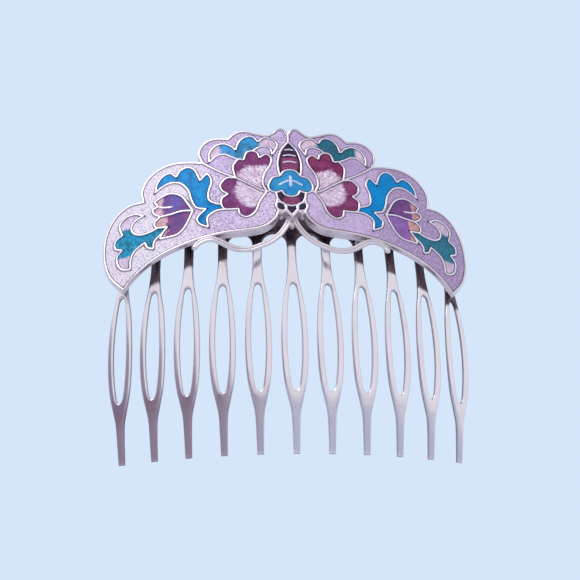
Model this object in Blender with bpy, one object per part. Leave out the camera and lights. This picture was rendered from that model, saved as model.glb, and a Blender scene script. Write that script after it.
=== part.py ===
"""Butterfly hair comb: a stamped, curved sheet-metal comb with a cloisonne butterfly in front.

Frame: X across the comb, Z up with the teeth hanging down, the butterfly facing -Y. The
origin is on the sheet's middle surface at x = 0, a little below the tops of the gaps between
the teeth. Outlines are (across, up) pairs in millimetres for the +X half.
"""
import math

import bmesh
import bpy
from mathutils import Matrix, Vector

MM = 0.001

# The comb: one stamped sheet, curved round a vertical axis behind it.
TOOTH_COUNT = 11
PITCH = 7.5                # between teeth, along the sheet
COMB_RADIUS = 91.0
COMB_SHEET = 1.0
SPINE_TOP = 8.0
ARCH_RADIUS = 2.7          # of the round tops of the gaps
ARCH_TOP = 1.9
BOW_START = -10.5          # below this height the teeth curl backwards
BOW_RATE = 0.0036          # backward curl for each square millimetre of height

# Half widths of a tooth and of its slot at each height, from the top down.
TOOTH_PROFILE = [(-6.0, 1.05), (-10.5, 1.5), (-14.5, 2.2), (-18.5, 2.6), (-23.5, 2.8), (-28.5, 2.7),
                 (-32.5, 2.3), (-36.5, 1.4), (-39.0, 0.95), (-46.3, 0.7)]
SLOT_PROFILE = [(-10.6, 0.0), (-10.9, 0.4), (-11.8, 0.75), (-14.5, 1.05), (-18.5, 1.35), (-23.0, 1.5),
                (-27.5, 1.4), (-31.0, 1.1), (-33.3, 0.75), (-34.0, 0.4), (-34.2, 0.0)]

# The butterfly's dished front surface: how far forward of the comb, and how fast it bends.
WING_FRONT = -6.1
BEND_ACROSS = 0.0075
BEND_UP = 0.0013
BEND_UP_FROM = -32.0

# Its metal tray, and what fills it.
RIM_WIDTH = 0.55
RIM_PROUD = 0.6
SHEET = 0.6
SKIRT_DEPTH = 2.3          # as far out as SKIRT_DEEP_TO
SKIRT_SHALLOW = 0.95       # from SKIRT_SHALLOW_FROM to the tips
SKIRT_DEEP_TO = 9.0
SKIRT_SHALLOW_FROM = 24.0
WIRE = 0.38
ENAMEL_TOP = 0.5
WIRE_TOP = 0.6
GAP = 0.1                  # between pieces that touch on the real object
ARM_RADIUS = 0.6

# How finely the curves and the bent sheets are faceted.
POINT_SPACING = 2.0
TOOTH_SPACING = 3.0
SLICE_ACROSS = 4.0
SLICE_UP = 8.0
ARCH_STEPS = 8
EYE_SIDES = 12
PAD_SIDES = 16
SHARP_ANGLE = math.radians(40)

# Limits for working with flat shapes.
PARALLEL = 0.02            # sine of the angle below which two edges run on
NO_LENGTH = 1e-6
CUT_PAST = 1.0             # how far a cutter reaches past what it cuts
BEYOND = 60.0              # farther out than any part of the butterfly
WELD = 1e-7                # metres
SLIVER = 2e-6              # metres
SAME_PLANE = 0.001         # radians

RUNS = {
    # outer edge of the tray
    "rim_top": [(0.0, 28.7), (0.6, 30.0), (1.6, 30.6), (2.8, 30.0), (3.8, 28.9), (5.2, 28.2),
                (7.6, 29.0), (9.6, 29.9), (11.4, 30.0), (12.9, 29.2), (14.1, 27.8)],
    "rim_lobe": [(14.1, 27.8), (16.6, 28.4), (18.9, 27.9), (20.5, 26.1), (21.0, 23.8),
                 (20.1, 21.1)],
    "rim_shoulder": [(20.1, 21.1), (22.8, 21.9), (26.6, 22.5), (30.2, 21.6), (32.7, 19.3),
                     (33.9, 15.9), (33.4, 12.7)],
    "rim_outer": [(33.4, 12.7), (36.4, 12.7), (39.3, 10.8), (41.2, 7.2), (41.8, 3.0),
                  (41.3, -2.0), (39.5, -6.8), (36.0, -11.1)],
    "rim_lower": [(36.0, -11.1), (33.8, -8.2), (30.6, -5.4), (26.4, -3.3), (20.5, -1.5),
                  (15.0, -0.6), (10.4, -0.3), (7.2, 0.1), (5.2, 1.0), (3.8, 2.3), (3.15, 3.3),
                  (2.8, 4.3)],
    "rim_eye": [(2.8, 4.3), (2.1, 4.1), (1.35, 4.6)],
    "rim_head": [(1.35, 4.6), (0.0, 2.75)],
    # body
    "bar": [(0.0, 28.7), (0.0, 25.9)],
    "abdomen": [(0.0, 25.9), (1.0, 24.5), (2.0, 22.5), (2.65, 19.5), (2.6, 17.0), (2.3, 15.0)],
    "flower_top": [(0.0, 16.9), (1.3, 16.5), (2.3, 15.0)],
    "flower_lobe": [(2.3, 15.0), (4.0, 14.4), (4.95, 12.2), (4.6, 10.7), (3.3, 10.1),
                    (2.0, 10.6)],
    "flower_low": [(2.0, 10.6), (1.4, 9.4), (0.0, 8.85)],
    "thorax": [(3.3, 10.1), (3.0, 8.3), (1.8, 6.75), (0.0, 6.2)],
    "eye_side": [(2.8, 4.3), (3.38, 6.2), (3.0, 8.3)],
    "head": [(0.0, 6.2), (1.35, 6.45), (1.15, 5.2), (0.0, 3.6)],
    # between the wings
    "divider": [(20.1, 21.1), (17.8, 18.9), (15.0, 16.7), (12.2, 14.9), (9.0, 12.6),
                (6.9, 11.0), (5.35, 10.4), (4.6, 10.7)],
    # two petals beside the body
    "petal_a": [(5.35, 10.4), (6.2, 12.8), (5.8, 15.6), (4.5, 18.2), (4.1, 20.4), (5.3, 21.8),
                (6.8, 20.7)],
    "petal_b": [(6.8, 20.7), (7.2, 22.2), (8.3, 23.0), (9.7, 22.6), (10.4, 20.3)],
    "petal_c": [(10.4, 20.3), (11.6, 20.6), (12.7, 18.9), (12.7, 17.2), (12.2, 14.9)],
    "petal_d": [(12.2, 14.9), (14.2, 15.1), (15.6, 13.3), (15.2, 11.5), (13.9, 10.3)],
    "petal_e": [(13.9, 10.3), (15.2, 9.2), (15.3, 7.5), (14.4, 6.0), (11.6, 5.8)],
    "petal_f": [(11.6, 5.8), (11.2, 4.2), (9.6, 3.4), (7.9, 4.8), (6.9, 7.6), (5.35, 10.4)],
    # leaf along the top of the upper wing
    "leaf_a": [(18.2, 20.8), (18.3, 23.4), (17.1, 25.6), (15.2, 26.2), (13.4, 25.2),
               (12.2, 23.7)],
    "leaf_b": [(12.2, 23.7), (11.6, 26.0), (10.2, 27.7), (8.3, 27.8), (7.1, 26.0)],
    "leaf_c": [(7.1, 26.0), (5.5, 27.3), (3.6, 26.7), (2.6, 24.7), (3.8, 21.7)],
    "leaf_d": [(3.8, 21.7), (4.3, 23.8), (5.8, 24.5), (7.3, 23.9), (8.3, 23.0)],
    "leaf_e": [(11.6, 20.6), (13.2, 21.6), (14.8, 22.7), (16.6, 22.4), (18.2, 20.8)],
    # S-shaped leaf in the middle of the lower wing
    "blue_a": [(30.4, 14.4), (30.1, 17.0), (28.9, 18.9), (27.2, 19.4), (25.7, 17.8)],
    "blue_b": [(25.7, 17.8), (24.9, 19.5), (23.3, 20.2), (21.6, 19.0), (20.2, 15.4)],
    "blue_c": [(20.2, 15.4), (18.6, 17.0), (17.6, 14.6), (18.2, 11.8), (18.1, 9.3), (16.9, 8.1),
               (15.3, 7.5)],
    "blue_d": [(14.4, 6.0), (16.5, 5.8), (18.3, 4.3), (18.1, 1.6)],
    "blue_e": [(18.1, 1.6), (20.0, 2.8), (20.5, 4.6), (18.7, 6.7)],
    "blue_f": [(18.7, 6.7), (20.8, 7.5), (21.9, 9.8), (22.8, 13.0), (24.6, 15.5), (26.9, 16.3),
               (28.9, 15.6), (30.4, 14.4)],
    # bud, in two cells with a rib between them
    "bud_a": [(21.6, 6.8), (22.6, 8.7), (24.3, 11.6), (26.6, 13.0), (28.7, 12.6), (30.4, 11.5)],
    "bud_b": [(30.4, 11.5), (29.5, 9.9)],
    "bud_c": [(29.5, 9.9), (30.7, 9.3), (30.2, 7.9), (28.8, 6.8)],
    "bud_rib": [(28.8, 6.8), (26.4, 6.9), (24.0, 7.2), (21.6, 6.8)],
    "bud_d": [(28.8, 6.8), (30.0, 5.6), (29.9, 4.3), (29.2, 3.8), (27.1, 3.5)],
    "bud_e": [(27.1, 3.5), (28.0, 2.2), (28.6, 0.6)],
    "bud_f": [(28.6, 0.6), (26.8, 0.6), (24.8, 0.9), (23.4, 2.3), (22.4, 4.5), (21.6, 6.8)],
    # leaf that hangs from the bud
    "tail_a": [(29.2, 3.8), (31.0, 3.1), (33.2, 3.0), (34.9, 4.1), (35.4, 6.0), (34.4, 7.6),
               (32.8, 8.2)],
    "tail_b": [(32.8, 8.2), (34.7, 9.4), (36.9, 9.2), (38.3, 7.2), (37.4, 4.2)],
    "tail_c": [(37.4, 4.2), (38.9, 3.0), (38.8, 1.0), (37.1, 0.0)],
    "tail_d": [(37.1, 0.0), (38.2, -1.7), (37.6, -4.2), (36.3, -5.5), (34.8, -5.7)],
    "tail_e": [(34.8, -5.7), (34.9, -3.4), (34.2, -1.2), (32.0, 0.5)],
    "tail_f": [(32.0, 0.5), (31.2, -1.1), (29.9, -1.7)],
    "tail_g": [(29.9, -1.7), (29.8, 0.3), (28.0, 2.2)],
}

# A cell is a closed loop of runs. "-" walks a run backwards, and two numbers keep only the
# stretch between those two points of the run.
RIM = ["rim_top", "rim_lobe", "rim_shoulder", "rim_outer", "rim_lower", "rim_eye", "rim_head"]
MOTIFS = {
    "upper_leaf": ["leaf_a", "leaf_b", "leaf_c", "leaf_d", ("petal_b", 2, 4), ("petal_c", 0, 1),
                   "leaf_e"],
    "upper_petal": ["petal_a", "petal_b", "petal_c", ("divider", 3, 6)],
    "lower_petal": ["petal_d", "petal_e", "petal_f", ("-divider", 6, 3)],
    "blue_leaf": ["blue_a", "blue_b", "blue_c", ("petal_e", 2, 3), "blue_d", "blue_e", "blue_f"],
    "bud_upper": ["bud_a", "bud_b", "bud_c", "bud_rib"],
    "bud_lower": ["bud_d", "bud_e", "bud_f", "-bud_rib"],
    "tail_leaf": ["tail_a", "tail_b", "tail_c", "tail_d", "tail_e", "tail_f", "tail_g",
                  ("-bud_e", 1, 0), ("-bud_d", 4, 3)],
}
FIELDS = {
    "upper_wing": ["rim_top", "rim_lobe", "divider", ("-flower_lobe", 3, 0), "-abdomen", "-bar"],
    "lower_wing": ["rim_shoulder", "rim_outer", "rim_lower", "eye_side", ("-thorax", 1, 0),
                   ("-flower_lobe", 4, 3), "-divider"],
}
FIELD_MOTIFS = {"upper_wing": ["upper_leaf", "upper_petal"],
                "lower_wing": ["lower_petal", "blue_leaf", "bud_upper", "bud_lower", "tail_leaf"]}
BODY = {
    "abdomen": ["abdomen", "-flower_top"],
    "head_flower": ["flower_top", "flower_lobe", "flower_low"],
    "thorax": ["-flower_low", ("-flower_lobe", 5, 4), "thorax"],
    "head": ["head"],
}
EYE_CENTRE = (2.34, 5.95)
EYE_HALF_LENGTH = 1.2
EYE_HALF_WIDTH = 0.88
EYE_LEAN = math.radians(46)

# Scroll arm: across, up, and behind the tray's floor.
ARM = [(0.8, 2.3, 1.0), (1.2, 1.75, 1.0), (1.95, 0.9, 1.0), (3.1, -0.6, 1.0), (4.9, -2.3, 1.0),
       (6.9, -3.5, 1.0), (9.2, -4.3, 1.0), (11.6, -4.3, 0.9), (13.5, -3.7, 0.7),
       (15.2, -2.7, 0.4), (16.8, -2.0, 0.2), (18.1, -1.9, 0.1), (19.4, -2.1, 0.1),
       (20.4, -2.5, 0.1), (20.9, -3.2, 0.2)]
# Solder: across, up, and how far behind the floor each pad starts.
SOLDER_POINTS = {"solder_middle": (15.0, 0.3, SKIRT_DEPTH), "solder_tip": (36.2, -8.0, SHEET)}
SOLDER_RADIUS = 0.8
SOLDER_CLEARANCE = 0.22    # a flat pad between two curved pieces

# colour, metallic, roughness
FINISHES = {
    "comb_metal": ((0.52, 0.47, 0.50), 1.0, 0.32),
    "tray_metal": ((0.60, 0.55, 0.58), 1.0, 0.35),
    "wire_metal": ((0.82, 0.79, 0.82), 1.0, 0.25),
    "solder": ((0.45, 0.44, 0.46), 1.0, 0.5),
    "lilac": ((0.58, 0.42, 0.72), 0.0, 0.12),
    "teal": ((0.04, 0.23, 0.36), 0.0, 0.12),
    "maroon": ((0.22, 0.03, 0.11), 0.0, 0.12),
    "blue": ((0.01, 0.22, 0.60), 0.0, 0.12),
    "purple": ((0.14, 0.06, 0.24), 0.0, 0.12),
    "peach": ((0.50, 0.22, 0.28), 0.0, 0.12),
    "dark": ((0.03, 0.012, 0.05), 0.0, 0.12),
    "sky": ((0.03, 0.30, 0.62), 0.0, 0.12),
}
CELL_FINISH = {"upper_wing": "lilac", "lower_wing": "lilac", "upper_leaf": "teal",
               "upper_petal": "maroon", "lower_petal": "maroon", "blue_leaf": "blue",
               "bud_upper": "purple", "bud_lower": "peach", "tail_leaf": "teal",
               "abdomen": "dark", "head_flower": "sky", "thorax": "maroon", "head": "dark"}


# ---- outlines ------------------------------------------------------------------------------

def smooth(points, spacing=POINT_SPACING):
    """A smooth curve through the points, as short chords. Also the chord index of each point."""
    knots = [Vector(p) for p in points]
    knots = [2 * knots[0] - knots[1]] + knots + [2 * knots[-1] - knots[-2]]
    chords, index = [knots[1]], [0]
    for a, b, c, d in zip(knots, knots[1:], knots[2:], knots[3:]):
        count = max(1, round((c - b).length / spacing)) if len(points) > 2 else 1
        for step in range(1, count + 1):
            t = step / count
            chords.append(0.5 * (2 * b + (c - a) * t + (2 * a - 5 * b + 4 * c - d) * t * t
                                 + (3 * b - a - 3 * c + d) * t ** 3))
        index.append(len(chords) - 1)
    return chords, index


def walk(step):
    """The chord points of one step of a loop."""
    name, first, last = step if isinstance(step, tuple) else (step, None, None)
    backwards = name.startswith("-")
    points, index = smooth(RUNS[name.lstrip("-")])
    if first is not None:
        points = points[index[min(first, last)]:index[max(first, last)] + 1]
    return points[::-1] if backwards else points


def edges_of(steps, inset, rim_inset):
    """The loop's edges, each with the distance it is to be moved inwards."""
    edges = []
    for step in steps:
        points = walk(step)
        distance = rim_inset if "rim_" in str(step) else inset
        edges += [(a, b, distance) for a, b in zip(points, points[1:])]
    return edges


def both_halves(edges):
    """A loop that starts and ends on the middle line, closed by its mirror image."""
    def flip(p):
        return Vector((-p.x, p.y))
    return edges + [(flip(b), flip(a), distance) for a, b, distance in reversed(edges)]


def area(points):
    return 0.5 * sum(a.x * b.y - b.x * a.y for a, b in zip(points, points[1:] + points[:1]))


def crossing(first, second):
    """Where two moved edges' lines meet, or the end of the first if they run on."""
    (a, b), (c, d) = first, second
    u, v = b - a, d - c
    cross = u.x * v.y - u.y * v.x
    if abs(cross) < PARALLEL * u.length * v.length:
        return (b + c) / 2
    t = ((c - a).x * v.y - (c - a).y * v.x) / cross
    return a + u * t


def moved_in(edges):
    """The loop with every edge moved inwards; edges that vanish on the way are dropped."""
    side = 1 if area([a for a, _, _ in edges]) > 0 else -1
    lines = []
    for a, b, distance in edges:
        if (b - a).length < NO_LENGTH:
            continue
        inward = Vector((a.y - b.y, b.x - a.x)).normalized() * side * distance
        lines.append((a + inward, b + inward))
    while True:
        corners = [crossing(lines[i - 1], lines[i]) for i in range(len(lines))]
        ends = corners[1:] + corners[:1]
        run = [(q - p).dot(b - a) for (a, b), p, q in zip(lines, corners, ends)]
        worst = min(range(len(lines)), key=run.__getitem__)
        if run[worst] > 0 or len(lines) < 4:
            return corners
        del lines[worst]


def eye_loop(inset):
    """An oval as a loop of points."""
    turn = Matrix.Rotation(EYE_LEAN, 2)
    angles = [math.tau * i / EYE_SIDES for i in range(EYE_SIDES)]
    return [Vector(EYE_CENTRE) + turn @ Vector(((EYE_HALF_LENGTH - inset) * math.cos(a),
                                                (EYE_HALF_WIDTH - inset) * math.sin(a)))
            for a in angles]


# ---- flat plates, cut while flat and bent afterwards ------------------------------------------

def plate(name, loops, top, bottom):
    """A flat plate with the loops as its outline and holes, between two heights."""
    curve = bpy.data.curves.new(name, "CURVE")
    curve.dimensions = "2D"
    curve.fill_mode = "BOTH"
    curve.extrude = (top - bottom) / 2 * MM
    for loop in loops:
        spline = curve.splines.new("POLY")
        spline.points.add(len(loop) - 1)
        for point, place in zip(spline.points, loop):
            point.co = (place[0] * MM, place[1] * MM, 0, 1)
        spline.use_cyclic_u = True
    flat = bpy.data.objects.new(name, curve)
    bpy.context.scene.collection.objects.link(flat)
    solid = to_mesh(flat, name)
    solid.data.transform(Matrix.Translation((0, 0, (top + bottom) / 2 * MM)))
    return solid


def to_mesh(source, name):
    """The evaluated object as a new mesh object; the source is removed."""
    bpy.context.view_layer.update()
    evaluated = source.evaluated_get(bpy.context.evaluated_depsgraph_get())
    mesh = bpy.data.meshes.new_from_object(evaluated)
    mesh.transform(source.matrix_world)
    work = bmesh.new()
    work.from_mesh(mesh)
    bmesh.ops.remove_doubles(work, verts=work.verts, dist=WELD)
    bmesh.ops.recalc_face_normals(work, faces=work.faces)
    work.to_mesh(mesh)
    work.free()
    bpy.data.objects.remove(source)
    solid = bpy.data.objects.new(name, mesh)
    bpy.context.scene.collection.objects.link(solid)
    return solid


def cut(solid, cutters):
    """The solid less each cutter in turn. The cutters are removed."""
    name = solid.name
    for cutter in cutters:
        boolean = solid.modifiers.new("cut", "BOOLEAN")
        boolean.operation = "DIFFERENCE"
        boolean.solver = "EXACT"
        boolean.object = cutter
        solid = to_mesh(solid, name)
        bpy.data.objects.remove(cutter)
    return solid


def slice_and_bend(solid, place):
    """Cuts the faces into a grid of small ones, then moves every point by the rule."""
    work = bmesh.new()
    work.from_mesh(solid.data)
    bmesh.ops.dissolve_limit(work, angle_limit=SAME_PLANE, verts=work.verts, edges=work.edges)
    for axis, spacing in ((0, SLICE_ACROSS * MM), (1, SLICE_UP * MM)):
        normal = Vector((1, 0, 0)) if axis == 0 else Vector((0, 1, 0))
        low = min(v.co[axis] for v in work.verts)
        high = max(v.co[axis] for v in work.verts)
        for i in range(math.ceil(low / spacing), math.floor(high / spacing) + 1):
            geometry = work.verts[:] + work.edges[:] + work.faces[:]
            bmesh.ops.bisect_plane(work, geom=geometry, dist=SLIVER,
                                   plane_co=normal * i * spacing, plane_no=normal)
    bmesh.ops.triangulate(work, faces=work.faces)
    bmesh.ops.dissolve_degenerate(work, edges=work.edges, dist=SLIVER)
    for vert in work.verts:
        vert.co = place(vert.co / MM) * MM
    bmesh.ops.recalc_face_normals(work, faces=work.faces)
    work.to_mesh(solid.data)
    work.free()


def wing_front(across, up):
    """How far back the tray's floor is at a place on the butterfly."""
    return WING_FRONT + BEND_ACROSS * across ** 2 + BEND_UP * (up - BEND_UP_FROM) ** 2


def skirt_depth(across):
    """How far behind the floor the skirt reaches."""
    share = (abs(across) - SKIRT_DEEP_TO) / (SKIRT_SHALLOW_FROM - SKIRT_DEEP_TO)
    share = min(1.0, max(0.0, share))
    share *= share * (3 - 2 * share)
    return SKIRT_DEPTH + (SKIRT_SHALLOW - SKIRT_DEPTH) * share


def on_wing(p):
    """From the flat butterfly (across, up, height above the tray's floor) to its place."""
    behind = -p.z
    if behind > SHEET:
        depth = (skirt_depth(p.x) - SHEET) / (SKIRT_DEPTH - SHEET)
        behind = SHEET + (behind - SHEET) * depth
    return Vector((p.x, wing_front(p.x, p.y) + behind, p.y))


def on_comb(p):
    """From the flat comb (along the sheet, up, height above its middle) to its place."""
    angle = p.x / COMB_RADIUS
    bow = BOW_RATE * max(0.0, BOW_START - p.y) ** 2
    radius = COMB_RADIUS - bow + p.z
    return Vector((radius * math.sin(angle), COMB_RADIUS - radius * math.cos(angle), p.y))


def finish(solid, finish_name):
    """Names, colours and shades a finished piece and puts it in the comb's collection."""
    name = solid.name
    material = bpy.data.materials.get(finish_name) or make_material(finish_name)
    solid.data.materials.clear()
    solid.data.materials.append(material)
    solid.data.shade_smooth()
    solid.data.set_sharp_from_angle(angle=SHARP_ANGLE)
    solid.data.name = name
    for collection in list(solid.users_collection):
        collection.objects.unlink(solid)
    bpy.data.collections["hair_comb"].objects.link(solid)
    return solid


def make_material(name):
    colour, metallic, roughness = FINISHES[name]
    material = bpy.data.materials.new(name)
    material.use_nodes = True
    shader = material.node_tree.nodes["Principled BSDF"]
    shader.inputs["Base Color"].default_value = (*colour, 1)
    shader.inputs["Metallic"].default_value = metallic
    shader.inputs["Roughness"].default_value = roughness
    return material


def mirror_copy(solid, name):
    """The same flat piece on the other side of the middle."""
    mesh = solid.data.copy()
    mesh.transform(Matrix.Scale(-1, 4, (1, 0, 0)))
    mesh.flip_normals()
    other = bpy.data.objects.new(name, mesh)
    bpy.context.scene.collection.objects.link(other)
    return other


def bodies_of(solid, *names):
    """A flat piece's separate bodies, largest first, each as its own named object."""
    work = bmesh.new()
    work.from_mesh(solid.data)
    bpy.data.objects.remove(solid)
    groups = []
    loose = set(work.faces)
    while loose:
        group, fresh = set(), [loose.pop()]
        while fresh:
            face = fresh.pop()
            group.add(face)
            near = {other for edge in face.edges for other in edge.link_faces} & loose
            loose -= near
            fresh += near
        groups.append(group)
    groups.sort(key=lambda group: -sum(face.calc_area() for face in group))
    pieces = []
    for name, group in zip(names, groups):
        body = work.copy()
        kept = {face.index for face in group}
        body.faces.ensure_lookup_table()
        bmesh.ops.delete(body, geom=[f for f in body.faces if f.index not in kept],
                         context="FACES")
        piece = bpy.data.objects.new(name, bpy.data.meshes.new(name))
        body.to_mesh(piece.data)
        body.free()
        bpy.context.scene.collection.objects.link(piece)
        pieces.append(piece)
    work.free()
    return pieces


def place_pair(solid, finish_name, place=on_wing):
    """Finishes a +X piece as NAME_right and its mirror image as NAME_left."""
    other = mirror_copy(solid, solid.name + "_left")
    solid.name += "_right"
    for piece in (solid, other):
        slice_and_bend(piece, place)
        finish(piece, finish_name)


# ---- the pieces ------------------------------------------------------------------------------

def make_comb():
    """The spine, and one slotted tooth under each arch foot."""
    half_span = (TOOTH_COUNT - 1) / 2 * PITCH
    foot = PITCH / 2 - ARCH_RADIUS
    spring = ARCH_TOP - ARCH_RADIUS
    outline = [(-half_span - foot, SPINE_TOP), (-half_span - foot, spring)]
    for tooth in range(TOOTH_COUNT - 1):
        middle = (tooth + 0.5) * PITCH - half_span
        for step in range(ARCH_STEPS + 1):
            angle = math.pi * (1 - step / ARCH_STEPS)
            outline.append((middle + ARCH_RADIUS * math.cos(angle),
                            spring + ARCH_RADIUS * math.sin(angle)))
    outline += [(half_span + foot, spring), (half_span + foot, SPINE_TOP)]
    spine = plate("comb_spine", [outline], COMB_SHEET / 2, -COMB_SHEET / 2)
    slice_and_bend(spine, on_comb)
    finish(spine, "comb_metal")
    for tooth in range(TOOTH_COUNT):
        make_tooth(f"tooth_{tooth + 1:02d}", tooth * PITCH - half_span)


def make_tooth(name, middle):
    """A tooth that swells round a long slot and ends in a narrow square tip."""
    top = ARCH_TOP - ARCH_RADIUS - GAP
    side = [(width, up) for up, width in TOOTH_PROFILE]
    side = [Vector((PITCH / 2 - ARCH_RADIUS, top))] + smooth(side, TOOTH_SPACING)[0]
    slot = smooth([(width, up) for up, width in SLOT_PROFILE], TOOTH_SPACING)[0]
    loops = []
    for half in (side, slot):
        other = [Vector((-p.x, p.y)) for p in reversed(half) if abs(p.x) > NO_LENGTH]
        loops.append([p + Vector((middle, 0)) for p in half + other])
    solid = plate(name, loops, COMB_SHEET / 2, -COMB_SHEET / 2)
    slice_and_bend(solid, on_comb)
    finish(solid, "comb_metal")


def tray_loop(inset):
    return moved_in(both_halves(edges_of(RIM, inset, inset)))


def make_tray():
    """A dished tray: a raised rim, a floor, and a skirt round a hollow back."""
    tray = plate("tray", [tray_loop(0)], RIM_PROUD, -SKIRT_DEPTH)
    pocket = plate("pocket", [tray_loop(RIM_WIDTH)], RIM_PROUD + CUT_PAST, 0)
    hollow = plate("hollow", [tray_loop(SHEET)], -SHEET, -SKIRT_DEPTH - CUT_PAST)
    tray = cut(tray, [pocket, hollow])
    slice_and_bend(tray, on_wing)
    finish(tray, "tray_metal")


def motif_loop(name, inset):
    return moved_in(edges_of(MOTIFS[name], inset, inset))


def body_loop(name, inset, rim_inset=None):
    loop = edges_of(BODY[name], inset, inset if rim_inset is None else rim_inset)
    return moved_in(both_halves(loop))


def field(name, gap, rim_inset, top, bottom):
    """The ground of one wing: its whole field less every motif and eye standing on it."""
    outline = moved_in(edges_of(FIELDS[name], WIRE / 2 + gap, rim_inset))
    ground = plate(name, [outline], top, bottom)
    loops = [motif_loop(motif, -WIRE / 2 - gap) for motif in FIELD_MOTIFS[name]]
    if name == "lower_wing":
        loops.append(eye_loop(-WIRE / 2 - gap))
    return cut(ground, [plate("hole", [loop], top + CUT_PAST, bottom - CUT_PAST)
                        for loop in loops])


def make_enamel():
    """Every enamel cell, a little lower than the wires and clear of them."""
    for name in FIELDS:
        ground = field(name, GAP, RIM_WIDTH + GAP, ENAMEL_TOP, GAP)
        place_pair(ground, CELL_FINISH[name])
    for name in MOTIFS:
        loop = motif_loop(name, WIRE / 2 + GAP)
        place_pair(plate(name, [loop], ENAMEL_TOP, GAP), CELL_FINISH[name])
    for name in BODY:
        cell = plate(name, [body_loop(name, WIRE / 2 + GAP)], ENAMEL_TOP, GAP)
        slice_and_bend(cell, on_wing)
        finish(cell, CELL_FINISH[name])
    place_pair(plate("eye", [eye_loop(WIRE / 2 + GAP)], ENAMEL_TOP, GAP), "dark")


def make_wires():
    """The cell walls: what is left of the pocket when every cell is taken out of it."""
    inner = tray_loop(RIM_WIDTH + GAP)
    web = plate("wires", [inner], WIRE_TOP, GAP)
    other_half = [(GAP / 2, BEYOND), (GAP / 2, -BEYOND), (-BEYOND, -BEYOND), (-BEYOND, BEYOND)]
    top, bottom = WIRE_TOP + CUT_PAST, GAP - CUT_PAST
    loops = [other_half] + [motif_loop(name, WIRE / 2) for name in MOTIFS]
    loops += [body_loop(name, WIRE / 2) for name in BODY] + [eye_loop(WIRE / 2)]
    cutters = [plate("cell", [loop], top, bottom) for loop in loops]
    cutters += [field(name, 0, -CUT_PAST, top, bottom) for name in FIELDS]
    for body in bodies_of(cut(web, cutters), "wires", "bud_wires"):
        place_pair(body, "wire_metal")


def make_arms():
    """A round scroll arm on each side, under the wing's lower edge."""
    for side, name in ((1, "arm_right"), (-1, "arm_left")):
        curve = bpy.data.curves.new(name, "CURVE")
        curve.dimensions = "3D"
        curve.bevel_depth = ARM_RADIUS * MM
        curve.bevel_resolution = 1
        curve.use_fill_caps = True
        chords = smooth(ARM)[0]
        spline = curve.splines.new("POLY")
        spline.points.add(len(chords) - 1)
        for point, (across, up, behind) in zip(spline.points, chords):
            back = wing_front(across, up) + behind
            point.co = (side * across * MM, back * MM, up * MM, 1)
        source = bpy.data.objects.new(name, curve)
        bpy.context.scene.collection.objects.link(source)
        finish(to_mesh(source, name), "wire_metal")


def make_solder():
    """Four thin pads of solder between the tray and the comb."""
    for name, (across, up, behind) in SOLDER_POINTS.items():
        lean = math.asin(across / COMB_RADIUS)
        sheet_front = on_comb(Vector((COMB_RADIUS * lean, up, COMB_SHEET / 2))).y
        tray_back = on_wing(Vector((across, up, -behind))).y
        thick = sheet_front - tray_back - 2 * SOLDER_CLEARANCE
        middle = (sheet_front + tray_back) / 2
        for side, label in ((1, "_right"), (-1, "_left")):
            bpy.ops.mesh.primitive_cylinder_add(vertices=PAD_SIDES, radius=SOLDER_RADIUS * MM,
                                                depth=thick * MM)
            pad = bpy.context.object
            pad.name = name + label
            pad.location = (side * across * MM, middle * MM, up * MM)
            pad.rotation_euler = (math.radians(90), 0, side * lean)
            finish(pad, "solder")


def main():
    for old in list(bpy.data.objects):
        bpy.data.objects.remove(old)
    collection = bpy.data.collections.new("hair_comb")
    bpy.context.scene.collection.children.link(collection)
    make_comb()
    make_tray()
    make_enamel()
    make_wires()
    make_arms()
    make_solder()


main()
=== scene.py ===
"""Looks of the butterfly hair comb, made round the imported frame.

Flat drawings are in millimetres: (across, up) for the +X half of the butterfly, with a height
above the tray's floor. on_wing() and on_comb() bend them into place in the row frame.
"""
import math
from functools import partial

import bmesh
import bpy
import numpy as np
from mathutils import Matrix, Vector, noise
from mathutils.geometry import delaunay_2d_cdt


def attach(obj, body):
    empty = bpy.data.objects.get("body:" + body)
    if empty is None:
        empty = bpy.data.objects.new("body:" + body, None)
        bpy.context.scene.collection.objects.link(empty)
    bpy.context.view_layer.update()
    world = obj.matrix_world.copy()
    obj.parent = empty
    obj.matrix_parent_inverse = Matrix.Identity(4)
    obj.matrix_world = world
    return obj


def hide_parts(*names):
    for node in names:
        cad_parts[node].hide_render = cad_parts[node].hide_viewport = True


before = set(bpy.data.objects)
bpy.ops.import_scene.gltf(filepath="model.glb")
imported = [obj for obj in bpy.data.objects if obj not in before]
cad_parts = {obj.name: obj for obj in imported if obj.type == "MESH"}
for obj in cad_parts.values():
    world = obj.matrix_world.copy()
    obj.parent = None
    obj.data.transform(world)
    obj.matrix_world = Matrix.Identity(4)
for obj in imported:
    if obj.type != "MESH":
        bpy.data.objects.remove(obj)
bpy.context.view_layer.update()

MM = 0.001

# The comb and the dish of the butterfly, as the frame has them.
TOOTH_COUNT = 11
PITCH = 7.5
COMB_RADIUS = 91.0
COMB_SHEET = 1.0
SPINE_TOP = 8.0
ARCH_RADIUS = 2.7
ARCH_TOP = 1.9
ARCH_STEPS = 20
BOW_START = -10.5
BOW_RATE = 0.0036
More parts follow.
